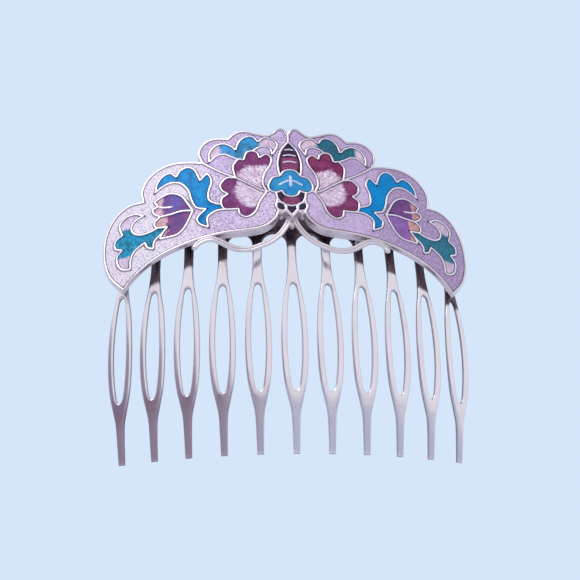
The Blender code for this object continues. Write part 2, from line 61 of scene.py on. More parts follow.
# Half widths of a tooth and of its slot: (up, half width).
TOOTH_PROFILE = [(-6.0, 1.05), (-10.5, 1.5), (-14.5, 2.2), (-18.5, 2.6), (-23.5, 2.8),
                 (-28.5, 2.7), (-32.5, 2.3), (-36.5, 1.4), (-39.0, 0.95), (-46.3, 0.7)]
SLOT_PROFILE = [(-10.6, 0.0), (-10.9, 0.4), (-11.8, 0.75), (-14.5, 1.05), (-18.5, 1.35),
                (-23.0, 1.5), (-27.5, 1.4), (-31.0, 1.1), (-33.3, 0.75), (-34.0, 0.4),
                (-34.2, 0.0)]
TOOTH_SPACING = 0.8
SLOT_SPACING = 0.6
WING_FRONT = -6.1
BEND_ACROSS = 0.0075
BEND_UP = 0.0013
BEND_UP_FROM = -32.0
SHEET = 0.6
SKIRT_DEPTH = 2.3
SKIRT_SHALLOW = 0.95
SKIRT_DEEP_TO = 9.0
SKIRT_SHALLOW_FROM = 24.0

# The finished surfaces.
FINE = 0.4                 # spacing of points along a drawn curve
COMB_GRID = 1.2            # spacing of points over the comb, the tray and the enamel
TRAY_GRID = 1.0
ENAMEL_GRID = 0.42
COMB_ROUNDING = 0.42
WIRE = 0.46
WIRE_TOP = 0.66
WIRE_FOOT = 0.05
WIRE_CROWN = 0.38          # height of the rounded crown, as a share of the width
CROWN_STEPS = 6
ENAMEL_TOP = 0.44
ENAMEL_FOOT = 0.02
RIM_WALL = 0.55            # the ground's enamel stops this far inside the tray's edge
MENISCUS = 0.07            # how far the enamel climbs the wires
MENISCUS_REACH = 0.22
OVERLAP = 0.03             # the enamel runs this far into the wires
ENAMEL_INSET = WIRE / 2 - OVERLAP
EDGE_LINE = 0.3            # width of the shadow on the enamel beside a wire

# Painted shade and reflection on the comb's front. Above the shade line, (distance from the middle,
# up) for each half, it is painted dark, standing in for the butterfly's shadow and the dark back of
# the tray that the teeth reflect; and below the height set next it turns rosy on the left, a
# painted reflection.
SHADE_LINE = {
    -1: [(0.0, -1.4), (7.5, -1.6), (15.0, -4.7), (22.5, -5.4), (30.0, -9.0), (36.0, -8.0)],
    1: [(0.0, -1.4), (7.5, -1.6), (15.0, -4.9), (22.5, -6.3), (30.0, -9.2), (38.0, -12.5)],
}
# The painted shade's number on the comb's back, which never takes the painted shade.
NEVER_SHADED = -9.0
BACK_BEHIND = -0.4         # below this height in the sheet it is the comb's back
CUT_SIDE = 0.24            # half the height of the sheet's cut side
# Painted reflection: low on the left teeth the tips are painted rosy, standing in for the dim low
# front that they reflect.
TIP_REFLECTION_FROM = -31.5
TIP_REFLECTION_WITHIN = 5.0          # how far below the start it is fully rosy
TIP_REFLECTION_ACROSS = 18.0         # and how far to the left

# The butterfly's lines: each run is a smooth curve through its (across, up) points.
RUNS = {
    # outer edge of the tray
    "rim_top": [(0.0, 28.7), (0.6, 30.0), (1.6, 30.6), (2.8, 30.0), (3.8, 28.9), (5.2, 28.2),
                (7.6, 29.0), (9.6, 29.9), (11.4, 30.0), (12.9, 29.2), (14.1, 27.8)],
    "rim_lobe": [(14.1, 27.8), (16.6, 28.4), (18.9, 27.9), (20.5, 26.1), (21.0, 23.8),
                 (20.1, 21.1)],
    "rim_shoulder": [(20.1, 21.1), (22.8, 21.9), (26.6, 22.5), (30.2, 21.6), (32.7, 19.3),
                     (33.9, 15.9), (33.4, 12.7)],
    "rim_outer": [(33.4, 12.7), (36.4, 12.7), (39.3, 10.8), (41.2, 7.2), (41.8, 3.0),
                  (41.3, -2.0), (39.5, -6.8), (36.0, -11.1)],
    "rim_lower": [(36.0, -11.1), (33.8, -8.2), (30.6, -5.4), (26.4, -3.3), (20.5, -1.5),
                  (15.0, -0.6), (10.4, -0.3), (7.2, 0.1), (5.2, 1.0), (3.8, 2.3), (3.15, 3.3),
                  (2.8, 4.3)],
    "rim_eye": [(2.8, 4.3), (2.1, 4.1), (1.35, 4.6)],
    "rim_head": [(1.35, 4.6), (0.0, 2.75)],
    # body
    "bar": [(0.0, 28.7), (0.0, 25.9)],
    "abdomen": [(0.0, 25.9), (1.0, 24.5), (2.0, 22.5), (2.65, 19.5), (2.6, 17.0), (2.3, 15.0)],
    "flower_top": [(0.0, 16.9), (1.3, 16.5), (2.3, 15.0)],
    "flower_lobe": [(2.3, 15.0), (4.0, 14.4), (4.95, 12.2), (4.6, 10.7), (3.3, 10.1),
                    (2.0, 10.6)],
    "flower_low": [(2.0, 10.6), (1.4, 9.4), (0.0, 8.85)],
    "thorax": [(3.3, 10.1), (3.0, 8.3), (1.8, 6.75), (0.0, 6.2)],
    "eye_side": [(2.8, 4.3), (3.38, 6.2), (3.0, 8.3)],
    "head": [(0.0, 6.2), (1.35, 6.45), (1.15, 5.2), (0.0, 3.6)],
    # between the wings
    "divider": [(20.1, 21.1), (17.8, 18.9), (15.0, 16.7), (12.2, 14.9), (9.0, 12.6),
                (6.9, 11.0), (5.35, 10.4), (4.6, 10.7)],
    # two petals beside the body
    "petal_a": [(5.35, 10.4), (6.2, 12.8), (5.8, 15.6), (4.5, 18.2), (4.1, 20.4), (5.3, 21.8),
                (6.8, 20.7)],
    "petal_b": [(6.8, 20.7), (7.2, 22.2), (8.3, 23.0), (9.7, 22.6), (10.4, 20.3)],
    "petal_c": [(10.4, 20.3), (11.6, 20.6), (12.7, 18.9), (12.7, 17.2), (12.2, 14.9)],
    "petal_d": [(12.2, 14.9), (14.2, 15.1), (15.6, 13.3), (15.2, 11.5), (13.9, 10.3)],
    "petal_e": [(13.9, 10.3), (15.2, 9.2), (15.3, 7.5), (14.4, 6.0), (11.6, 5.8)],
    "petal_f": [(11.6, 5.8), (11.2, 4.2), (9.6, 3.4), (7.9, 4.8), (6.9, 7.6), (5.35, 10.4)],
    # leaf along the top of the upper wing
    "leaf_a": [(18.2, 20.8), (18.3, 23.4), (17.1, 25.6), (15.2, 26.2), (13.4, 25.2),
               (12.2, 23.7)],
    "leaf_b": [(12.2, 23.7), (11.6, 26.0), (10.2, 27.7), (8.3, 27.8), (7.1, 26.0)],
    "leaf_c": [(7.1, 26.0), (5.5, 27.3), (3.6, 26.7), (2.6, 24.7), (3.8, 21.7)],
    "leaf_d": [(3.8, 21.7), (4.3, 23.8), (5.8, 24.5), (7.3, 23.9), (8.3, 23.0)],
    "leaf_e": [(11.6, 20.6), (13.2, 21.6), (14.8, 22.7), (16.6, 22.4), (18.2, 20.8)],
    # S-shaped leaf in the middle of the lower wing
    "blue_a": [(30.4, 14.4), (30.1, 17.0), (28.9, 18.9), (27.2, 19.4), (25.7, 17.8)],
    "blue_b": [(25.7, 17.8), (24.9, 19.5), (23.3, 20.2), (21.6, 19.0), (20.2, 15.4)],
    "blue_c": [(20.2, 15.4), (18.6, 17.0), (17.6, 14.6), (18.2, 11.8), (18.1, 9.3), (16.9, 8.1),
               (15.3, 7.5)],
    "blue_d": [(14.4, 6.0), (16.5, 5.8), (18.3, 4.3), (18.1, 1.6)],
    "blue_e": [(18.1, 1.6), (20.0, 2.8), (20.5, 4.6), (18.7, 6.7)],
    "blue_f": [(18.7, 6.7), (20.8, 7.5), (21.9, 9.8), (22.8, 13.0), (24.6, 15.5), (26.9, 16.3),
               (28.9, 15.6), (30.4, 14.4)],
    # bud, in two cells with a rib between them
    "bud_a": [(21.6, 6.8), (22.6, 8.7), (24.3, 11.6), (26.6, 13.0), (28.7, 12.6), (30.4, 11.5)],
    "bud_b": [(30.4, 11.5), (29.5, 9.9)],
    "bud_c": [(29.5, 9.9), (30.7, 9.3), (30.2, 7.9), (28.8, 6.8)],
    "bud_rib": [(28.8, 6.8), (26.4, 6.9), (24.0, 7.2), (21.6, 6.8)],
    "bud_d": [(28.8, 6.8), (30.0, 5.6), (29.9, 4.3), (29.2, 3.8), (27.1, 3.5)],
    "bud_e": [(27.1, 3.5), (28.0, 2.2), (28.6, 0.6)],
    "bud_f": [(28.6, 0.6), (26.8, 0.6), (24.8, 0.9), (23.4, 2.3), (22.4, 4.5), (21.6, 6.8)],
    # leaf that hangs from the bud
    "tail_a": [(29.2, 3.8), (31.0, 3.1), (33.2, 3.0), (34.9, 4.1), (35.4, 6.0), (34.4, 7.6),
               (32.8, 8.2)],
    "tail_b": [(32.8, 8.2), (34.7, 9.4), (36.9, 9.2), (38.3, 7.2), (37.4, 4.2)],
    "tail_c": [(37.4, 4.2), (38.9, 3.0), (38.8, 1.0), (37.1, 0.0)],
    "tail_d": [(37.1, 0.0), (38.2, -1.7), (37.6, -4.2), (36.3, -5.5), (34.8, -5.7)],
    "tail_e": [(34.8, -5.7), (34.9, -3.4), (34.2, -1.2), (32.0, 0.5)],
    "tail_f": [(32.0, 0.5), (31.2, -1.1), (29.9, -1.7)],
    "tail_g": [(29.9, -1.7), (29.8, 0.3), (28.0, 2.2)],
}

# A cell is a closed loop of runs. "-" walks a run backwards, and two numbers keep only the
# stretch between those two points of the run.
RIM = ["rim_top", "rim_lobe", "rim_shoulder", "rim_outer", "rim_lower", "rim_eye", "rim_head"]
MOTIFS = {
    "upper_leaf": ["leaf_a", "leaf_b", "leaf_c", "leaf_d", ("petal_b", 2, 4), ("petal_c", 0, 1),
                   "leaf_e"],
    "upper_petal": ["petal_a", "petal_b", "petal_c", ("divider", 3, 6)],
    "lower_petal": ["petal_d", "petal_e", "petal_f", ("-divider", 6, 3)],
    "blue_leaf": ["blue_a", "blue_b", "blue_c", ("petal_e", 2, 3), "blue_d", "blue_e", "blue_f"],
    "bud_upper": ["bud_a", "bud_b", "bud_c", "bud_rib"],
    "bud_lower": ["bud_d", "bud_e", "bud_f", "-bud_rib"],
    "tail_leaf": ["tail_a", "tail_b", "tail_c", "tail_d", "tail_e", "tail_f", "tail_g",
                  ("-bud_e", 1, 0), ("-bud_d", 4, 3)],
}
FIELDS = {
    "upper_wing": ["rim_top", "rim_lobe", "divider", ("-flower_lobe", 3, 0), "-abdomen", "-bar"],
    "lower_wing": ["rim_shoulder", "rim_outer", "rim_lower", "eye_side", ("-thorax", 1, 0),
                   ("-flower_lobe", 4, 3), "-divider"],
}
FIELD_MOTIFS = {"upper_wing": ["upper_leaf", "upper_petal"],
                "lower_wing": ["lower_petal", "blue_leaf", "bud_upper", "bud_lower", "tail_leaf"]}
BODY = {
    "abdomen": ["abdomen", "-flower_top"],
    "head_flower": ["flower_top", "flower_lobe", "flower_low"],
    "thorax": ["-flower_low", ("-flower_lobe", 5, 4), "thorax"],
    "head": ["head"],
}
EYE_CENTRE = (2.35, 6.05)
EYE_HALF_LENGTH = 1.33
EYE_HALF_WIDTH = 1.02
EYE_LEAN = math.radians(46)
EYE_STEPS = 28
STRIPES = [(1.05, 23.4), (1.6, 21.6), (1.6, 19.5)]   # across the abdomen: (half length, up)
STRIPE_SAG = 0.35
STRIPE_SPACING = 0.3
STRIPE_TAPER = 0.4
SLIT_TAPER = 0.3
BUD_SLIT = [(29.5, 9.9), (28.3, 9.3), (26.1, 8.9)]
# Strokes of thick enamel on the flower at the neck.
FLOWER_UPRIGHT = [(0, 15.1), (0.05, 14.0), (0, 11.8)]
FLOWER_SLANTED = [(0.35, 13.7), (1.4, 13.15), (2.7, 12.2)]
UPRIGHT_WIDTH = 0.85
UPRIGHT_TAPER = 0.7
SLANTED_WIDTH = 0.6
SLANTED_TAPER = 0.4
STROKE_TOP = ENAMEL_TOP + 0.16
STROKE_SPACING = 0.2

# The tray's edge, from its floor over the rim, down the skirt and back inside: (inset, height).
TRAY_PROFILE = [(0.64, 0.0), (0.58, 0.05), (0.57, 0.42), (0.53, 0.52), (0.45, 0.58), (0.33, 0.6),
                (0.2, 0.59), (0.1, 0.54), (0.03, 0.44), (0.0, 0.3), (0.0, -0.6), (0.0, -1.3),
                (0.0, -1.9), (0.04, -2.15), (0.14, -2.27), (0.3, -2.3), (0.46, -2.27),
                (0.56, -2.15), (0.6, -1.9), (0.6, -0.8), (0.68, -0.66), (0.8, -0.6)]

# The right scroll arm: (across, up, behind the floor).
ARM = [(0.55, 4.1, 1.0), (0.7, 3.2, 1.0), (1.15, 2.0, 1.0), (1.85, 0.75, 1.0), (2.9, -0.75, 1.0),
       (4.7, -2.4, 1.0), (6.9, -3.5, 1.0), (9.2, -4.3, 1.0), (11.6, -4.2, 0.9), (13.5, -3.5, 0.6),
       (15.2, -2.4, 0.3), (16.8, -1.6, 0.0), (18.1, -1.45, -0.1), (19.4, -1.75, -0.1),
       (20.4, -2.3, 0.0), (20.9, -3.0, 0.1)]
STRAND_RADIUS = 0.38
STRAND_APART = 0.32
STRAND_STEPS = 12
ARM_SPACING = 0.35
ARM_TAPER = 0.6
KNOB_RADIUS = 0.7
KNOB_FLATNESS = 0.85
# Solder between the tray and the comb: (across, up, behind the floor).
SOLDER_POINTS = {"solder_middle": (15.0, 0.3, SKIRT_DEPTH), "solder_tip": (36.2, -8.0, SHEET)}
PAD_SIDES = 28
PAD_RINGS = 9
PAD_WAIST = 0.62           # radius half way, and how much wider both ends are
PAD_FLARE = 0.24
PAD_UNEVENNESS = 0.13
PAD_TILT = 0.6             # the share of the comb's slope that a pad follows
LUMP_UNEVENNESS = 0.22
# Solder that shows: (across, up, behind the floor), radii and the seed of its unevenness.
ARM_CROTCH = ((0.0, 2.0, 1.1), (0.75, 1.1, 0.42), 1)
SIDE_LUMPS = {"eye_solder": ((2.3, 3.9, 1.0), (0.7, 0.45, 0.6), 2),
              "skirt_solder": ((15.6, -1.2, 0.7), (0.9, 0.4, 0.5), 5)}

# Each wing's two petals: their root, and the radius of the pale heart by angle from it.
PETAL_BASE = (5.35, 10.4)
PETAL_ANGLES = (-65, -45, -15, 10, 25, 40, 60, 80, 100)
PETAL_HEART = {-1: (4.6, 6.0, 6.7, 7.2, 7.2, 8.8, 9.0, 8.1, 7.8),
               1: (3.8, 5.2, 6.9, 7.2, 7.2, 8.2, 8.3, 6.2, 5.6)}

SLOTS = {"upper_wing": "enamel_lilac", "lower_wing": "enamel_lilac", "upper_leaf": "enamel_teal",
         "upper_petal": "enamel_maroon", "lower_petal": "enamel_maroon",
         "blue_leaf": "enamel_blue", "bud_upper": "enamel_purple", "bud_lower": "enamel_peach",
         "tail_leaf": "enamel_teal", "abdomen": "enamel_dark", "thorax": "enamel_maroon",
         "head": "enamel_dark", "head_flower": "enamel_sky", "eye": "enamel_dark"}

# Tolerances of the drawing.
NO_LENGTH = 1e-6
WELD = 1e-3
NEARLY_PARALLEL = 0.02
SHARPEST_CORNER = 0.15     # keeps a ring's corner from running far out of a sharp turn
UNTANGLE_PASSES = 12
CLEAR_OF_EDGE = 0.45       # grid points keep this share of their spacing from a region's edge
BLOCK = 2000               # places measured at a time
TINY = 1e-12


# ---- drawing: curves, loops and filled regions -------------------------------------------------

def smooth(points, spacing=FINE):
    """A smooth curve through the points, as short chords. Also the chord index of each point."""
    knots = [Vector(p) for p in points]
    knots = [2 * knots[0] - knots[1]] + knots + [2 * knots[-1] - knots[-2]]
    chords, index = [knots[1]], [0]
    for a, b, c, d in zip(knots, knots[1:], knots[2:], knots[3:]):
        count = max(1, round((c - b).length / spacing))
        for step in range(1, count + 1):
            t = step / count
            chords.append(0.5 * (2 * b + (c - a) * t + (2 * a - 5 * b + 4 * c - d) * t * t
                                 + (3 * b - a - 3 * c + d) * t ** 3))
        index.append(len(chords) - 1)
    return chords, index


def walk(step):
    """The chord points of one step of a loop."""
    name, first, last = step if isinstance(step, tuple) else (step, None, None)
    backwards = name.startswith("-")
    points, index = smooth(RUNS[name.lstrip("-")])
    if first is not None:
        points = points[index[min(first, last)]:index[max(first, last)] + 1]
    return points[::-1] if backwards else points


def edges_of(steps, inset, rim_inset):
    """The loop's edges, each with the distance it is to be moved inwards."""
    edges = []
    for step in steps:
        points = walk(step)
        distance = rim_inset if "rim_" in str(step) else inset
        edges += [(a, b, distance) for a, b in zip(points, points[1:])]
    return edges


def flip(p):
    return Vector((-p.x, p.y))


def both_halves(edges):
    """A loop that starts and ends on the middle line, closed by its mirror image."""
    return edges + [(flip(b), flip(a), distance) for a, b, distance in reversed(edges)]


def area(points):
    return 0.5 * sum(a.x * b.y - b.x * a.y for a, b in zip(points, points[1:] + points[:1]))


def crossing(first, second):
    """Where two moved edges' lines meet, or the end of the first if they run on."""
    (a, b), (c, d) = first, second
    u, v = b - a, d - c
    cross = u.x * v.y - u.y * v.x
    if abs(cross) < NEARLY_PARALLEL * u.length * v.length:
        return (b + c) / 2
    t = ((c - a).x * v.y - (c - a).y * v.x) / cross
    return a + u * t


def moved_in(edges):
    """The loop with every edge moved inwards; edges that vanish on the way are dropped."""
    side = 1 if area([a for a, _, _ in edges]) > 0 else -1
    lines = []
    for a, b, distance in edges:
        if (b - a).length < NO_LENGTH:
            continue
        inward = Vector((a.y - b.y, b.x - a.x)).normalized() * side * distance
        lines.append((a + inward, b + inward))
    while True:
        corners = [crossing(lines[i - 1], lines[i]) for i in range(len(lines))]
        ends = corners[1:] + corners[:1]
        run = [(q - p).dot(b - a) for (a, b), p, q in zip(lines, corners, ends)]
        worst = min(range(len(lines)), key=run.__getitem__)
        if run[worst] > 0 or len(lines) < 4:
            return corners
        del lines[worst]


def ring(points, inset):
    """The loop moved inwards point by point, so that rings at several insets can be joined."""
    side = 1 if area(points) > 0 else -1
    moved = []
    for before, here, after in zip(points[-1:] + points[:-1], points, points[1:] + points[:1]):
        first = Vector((before.y - here.y, here.x - before.x)).normalized()
        second = Vector((here.y - after.y, after.x - here.x)).normalized()
        spread = max(SHARPEST_CORNER, 1 + first.dot(second))
        moved.append(here + (first + second) / spread * side * inset)
    for _ in range(UNTANGLE_PASSES):
        for i, point in enumerate(moved):
            j = (i + 1) % len(moved)
            if (moved[j] - point).dot(points[j] - points[i]) < 0:
                moved[i] = moved[j] = (point + moved[j]) / 2
    return moved


def eye_loop(inset):
    """The right eye's leaning oval, moved inwards."""
    long, short = EYE_HALF_LENGTH - inset, EYE_HALF_WIDTH - inset
    turn = Matrix.Rotation(EYE_LEAN, 2)
    angles = [math.tau * i / EYE_STEPS for i in range(EYE_STEPS)]
    return [Vector(EYE_CENTRE) + turn @ Vector((long * math.cos(a), short * math.sin(a)))
            for a in angles]


def is_inside(places, loop):
    """For each place (an N x 2 array), whether it is inside the loop."""
    start = np.array(loop, float)
    end = np.roll(start, -1, axis=0)
    x, y = places[:, :1], places[:, 1:]
    straddles = (start[:, 1] > y) != (end[:, 1] > y)
    rise = np.where(end[:, 1] == start[:, 1], TINY, end[:, 1] - start[:, 1])
    cross_x = start[:, 0] + (y - start[:, 1]) * (end[:, 0] - start[:, 0]) / rise
    return ((straddles & (x < cross_x)).sum(axis=1) % 2) == 1


def distance_to(places, chains):
    """For each place, how far it is from the nearest of the chains of points."""
    nearest = np.full(len(places), np.inf)
    for chain in chains:
        start, end = np.array(chain[:-1], float), np.array(chain[1:], float)
        along = end - start
        square = np.maximum((along ** 2).sum(axis=1), TINY)
        for first in range(0, len(places), BLOCK):
            part = places[first:first + BLOCK, None, :] - start
            t = np.clip((part * along).sum(axis=2) / square, 0, 1)
            gap = np.sqrt(((part - t[:, :, None] * along) ** 2).sum(axis=2)).min(axis=1)
            nearest[first:first + BLOCK] = np.minimum(nearest[first:first + BLOCK], gap)
    return nearest


def closed(loop):
    return list(loop) + [loop[0]]


def region(outline, holes, spacing):
    """The outline less its holes, as evenly spaced points and triangles."""
    loops = [outline] + holes
    low, high = np.array(outline).min(axis=0), np.array(outline).max(axis=0)
    rows = []
    for row, up in enumerate(np.arange(low[1], high[1], spacing * math.sqrt(0.75))):
        across = np.arange(low[0] + spacing / 2 * (row % 2), high[0], spacing)
        rows.append(np.stack([across, np.full(len(across), up)], axis=1))
    grid = np.concatenate(rows)
    keep = is_inside(grid, outline)
    for hole in holes:
        keep &= ~is_inside(grid, hole)
    grid = grid[keep]
    grid = grid[distance_to(grid, [closed(loop) for loop in loops]) > spacing * CLEAR_OF_EDGE]
    points, edges = [], []
    for loop in loops:
        first = len(points)
        points += [Vector(p) for p in loop]
        edges += [(first + i, first + (i + 1) % len(loop)) for i in range(len(loop))]
    points += [Vector(p) for p in grid]
    points, _, faces, *_ = delaunay_2d_cdt(points, edges, [], 0, 1e-5)
    places = np.array([p[:] for p in points], float)
    faces = [f[:] for f in faces]
    middles = places[np.array(faces)].mean(axis=1)
    keep = is_inside(middles, outline)
    for hole in holes:
        keep &= ~is_inside(middles, hole)
    return places, [face for face, kept in zip(faces, keep) if kept]


# ---- solids: flat, then bent into place --------------------------------------------------------

def wing_front(across, up):
    """How far back the tray's floor is at a place on the butterfly."""
    return WING_FRONT + BEND_ACROSS * across ** 2 + BEND_UP * (up - BEND_UP_FROM) ** 2


def skirt_depth(across):
    """How far behind the floor the skirt reaches."""
    share = (abs(across) - SKIRT_DEEP_TO) / (SKIRT_SHALLOW_FROM - SKIRT_DEEP_TO)
    share = min(1.0, max(0.0, share))
    share *= share * (3 - 2 * share)
    return SKIRT_DEPTH + (SKIRT_SHALLOW - SKIRT_DEPTH) * share


def on_wing(p):
    """From the flat butterfly (across, up, height above the tray's floor) to its place."""
    behind = -p[2]
    if behind > SHEET:
        depth = (skirt_depth(p[0]) - SHEET) / (SKIRT_DEPTH - SHEET)
        behind = SHEET + (behind - SHEET) * depth
    return Vector((p[0], wing_front(p[0], p[1]) + behind, p[1]))


def on_comb(p):
    """From the flat comb (along the sheet, up, height above its middle) to its place."""
    angle = p[0] / COMB_RADIUS
    bow = BOW_RATE * max(0.0, BOW_START - p[1]) ** 2
    radius = COMB_RADIUS - bow + p[2]
    return Vector((radius * math.sin(angle), COMB_RADIUS - radius * math.cos(angle), p[1]))


def solid(name, points, faces, place, values=None, sharp=35):
    """A closed mesh from flat points and faces. values(places) gives numbers kept at each point."""
    mesh = bpy.data.meshes.new(name)
    work = bmesh.new()
    verts = [work.verts.new((p[0], p[1], p[2])) for p in points]
    for face in faces:
        corners = [verts[i] for i in face]
        if len(set(corners)) > 2 and not work.faces.get(corners):
            work.faces.new(corners)
    bmesh.ops.remove_doubles(work, verts=work.verts, dist=WELD)
    bmesh.ops.dissolve_degenerate(work, edges=work.edges, dist=WELD)
    loose = [v for v in work.verts if not v.link_faces]
    bmesh.ops.delete(work, geom=loose, context="VERTS")
    bmesh.ops.recalc_face_normals(work, faces=work.faces)
    flat = np.array([v.co[:] for v in work.verts], float)
    for vert in work.verts:
        vert.co = place(vert.co) * MM
    work.to_mesh(mesh)
    work.free()
    if values:
        for label, numbers in values(flat).items():
            kept = mesh.attributes.new(label, "FLOAT", "POINT")
            kept.data.foreach_set("value", numbers.astype(np.float32))
    mesh.shade_smooth()
    mesh.set_sharp_from_angle(angle=math.radians(sharp))
    piece = bpy.data.objects.new(name, mesh)
    bpy.context.scene.collection.objects.link(piece)
    return piece


def mirrored(points, faces):
    """The other half of a flat shape."""
    return [(-p[0], p[1], p[2]) for p in points], [face[::-1] for face in faces]


def joined(*shapes):
    """Several flat shapes as one list of points and one of faces."""
    points, faces = [], []
    for more, their_faces in shapes:
        first = len(points)
        points += more
        faces += [tuple(first + i for i in face) for face in their_faces]
    return points, faces


def slab(places, triangles, top, bottom):
    """A region thickened between a top (a number or one for each point) and a flat bottom."""
    count = len(places)
    tops = np.broadcast_to(top, count)
    points = [(x, y, z) for (x, y), z in zip(places, tops)]
    points += [(x, y, bottom) for x, y in places]
    used = {}
    for a, b, c in triangles:
        for edge in ((a, b), (b, c), (c, a)):
            used[edge] = True
    rim = [edge for edge in used if (edge[1], edge[0]) not in used]
    faces = list(triangles) + [tuple(count + i for i in face[::-1]) for face in triangles]
    faces += [(b, a, count + a, count + b) for a, b in rim]
    return points, faces


def turned_edge(loops, profile, cap_spacing):
    """A sheet whose edge follows a profile of (inset, height), with a cap at each end of it.

    loops is the outline and then the holes, whose insets are outsets.
    """
    points, faces = [], []
    ends = ([], [])
    for number, loop in enumerate(loops):
        first = len(points)
        rings = [ring(loop, inset if number == 0 else -inset) for inset, _ in profile]
        for one, (_, height) in zip(rings, profile):
            points += [(p.x, p.y, height) for p in one]
        count = len(loop)
        for row in range(len(profile) - 1):
            for i in range(count):
                j = (i + 1) % count
                low, high = first + row * count, first + (row + 1) * count
                faces.append((low + i, low + j, high + j, high + i))
        ends[0].append(rings[0])
        ends[1].append(rings[-1])
    for end, (_, height) in zip(ends, (profile[0], profile[-1])):
        places, triangles = region(end[0], end[1:], cap_spacing)
        first = len(points)
        points += [(x, y, height) for x, y in places]
        faces += [tuple(first + i for i in face) for face in triangles]
    return points, faces


def swept(path, section, widths=None):
    """A section of (across, height) points swept along a flat path, closed at both ends."""
    points, faces = [], []
    count = len(section)
    for number, here in enumerate(path):
        before, after = path[max(0, number - 1)], path[min(len(path) - 1, number + 1)]
        along = (after - before).normalized()
        normal = Vector((-along.y, along.x))
        width = 1 if widths is None else widths[number]
        for across, height in section:
            place = here + normal * across * width
            points.append((place.x, place.y, height))
    for number in range(len(path) - 1):
        for i in range(count):
            j = (i + 1) % count
            first = number * count
            faces.append((first + i, first + j, first + count + j, first + count + i))
    faces.append(tuple(range(count)))
    faces.append(tuple(range(len(points) - 1, len(points) - 1 - count, -1)))
    return points, faces


# ---- materials ---------------------------------------------------------------------------------

class Nodes:
    """Short ways to add nodes to a tree. A value is a number, a colour or a node's socket."""

    def __init__(self, tree):
        self.tree = tree

    def put(self, value, socket):
        if isinstance(value, bpy.types.NodeSocket):
            self.tree.links.new(value, socket)
        else:
            socket.default_value = value

    def set(self, node, **inputs):
        for name, value in inputs.items():
            self.put(value, node.inputs[name])

    def add(self, kind, settings=None, **inputs):
        node = self.tree.nodes.new(kind)
        for name, value in (settings or {}).items():
            setattr(node, name, value)
        self.set(node, **inputs)
        return node

    def math(self, operation, first, second=0.0):
        node = self.add("ShaderNodeMath", {"operation": operation})
        self.put(first, node.inputs[0])
        self.put(second, node.inputs[1])
        return node.outputs[0]

    def spread(self, value, low, high, to_low=0.0, to_high=1.0):
        """A smooth step of the value between low and high."""
        node = self.add("ShaderNodeMapRange", {"interpolation_type": "SMOOTHSTEP"},
                        **{"Value": value, "From Min": low, "From Max": high, "To Min": to_low,
                           "To Max": to_high})
        return node.outputs[0]

    def mix(self, share, first, second):
        """The share of the way from the first colour to the second."""
        node = self.add("ShaderNodeMix", {"data_type": "RGBA"})
        self.put(share, node.inputs[0])
        for socket, colour in zip(node.inputs[6:8], (first, second)):
            linked = isinstance(colour, bpy.types.NodeSocket)
            self.put(colour if linked else (*colour, 1), socket)
        return node.outputs[2]


class Finish(Nodes):
    """A Principled material."""

    def __init__(self, name, colour, metallic, roughness, **more):
        self.material = bpy.data.materials.new(name)
        self.material.use_nodes = True
        super().__init__(self.material.node_tree)
        self.shader = self.tree.nodes["Principled BSDF"]
        self.set(self.shader, **{"Base Color": (*colour, 1), "Metallic": metallic,
                                 "Roughness": roughness}, **more)
        self.place = self.add("ShaderNodeTexCoord").outputs["Object"]

    def noise(self, size, detail=2.0, roughness=0.5, stretch=None, lean=0.0, distortion=0.0,
              vector=None):
        """Noise with features of this size in millimetres, stretched along a leaning Z."""
        vector = vector or self.place
        if stretch:
            vector = self.add("ShaderNodeMapping", {"vector_type": "TEXTURE"}, Vector=vector,
                              Rotation=(0, lean, 0), Scale=(1, 1, stretch)).outputs[0]
        return self.add("ShaderNodeTexNoise", Vector=vector, Scale=1 / (size * MM), Detail=detail,
                        Roughness=roughness, Distortion=distortion).outputs["Fac"]

    def attribute(self, name):
        return self.add("ShaderNodeAttribute", {"attribute_name": name}).outputs["Fac"]

    def bump(self, height, strength, depth):
        """Relief of the given depth in millimetres."""
        node = self.add("ShaderNodeBump", Height=height, Strength=strength, Distance=depth * MM)
        self.set(self.shader, Normal=node.outputs[0])


def srgb(*levels):
    """A colour given as 0 to 255 screen levels, in linear light."""
    shares = [level / 255 for level in levels]
    return tuple(s / 12.92 if s <= 0.04045 else ((s + 0.055) / 1.055) ** 2.4 for s in shares)


def tinted(colour, factor, lift=0.0):
    """A lighter or darker shade of a colour."""
    return [min(1.0, c * factor + lift) for c in colour]


# Painted shade on the comb's front, also the colour of its darker cut side.
SHADE_AND_CUT_COLOUR = srgb(104, 86, 92)
# Colour of the painted reflection at the left tips.
TIP_REFLECTION_COLOUR = srgb(134, 74, 92)
# Colour of the painted glints on the petals' foil.
PAINTED_GLINT = (0.95, 0.88, 0.95)


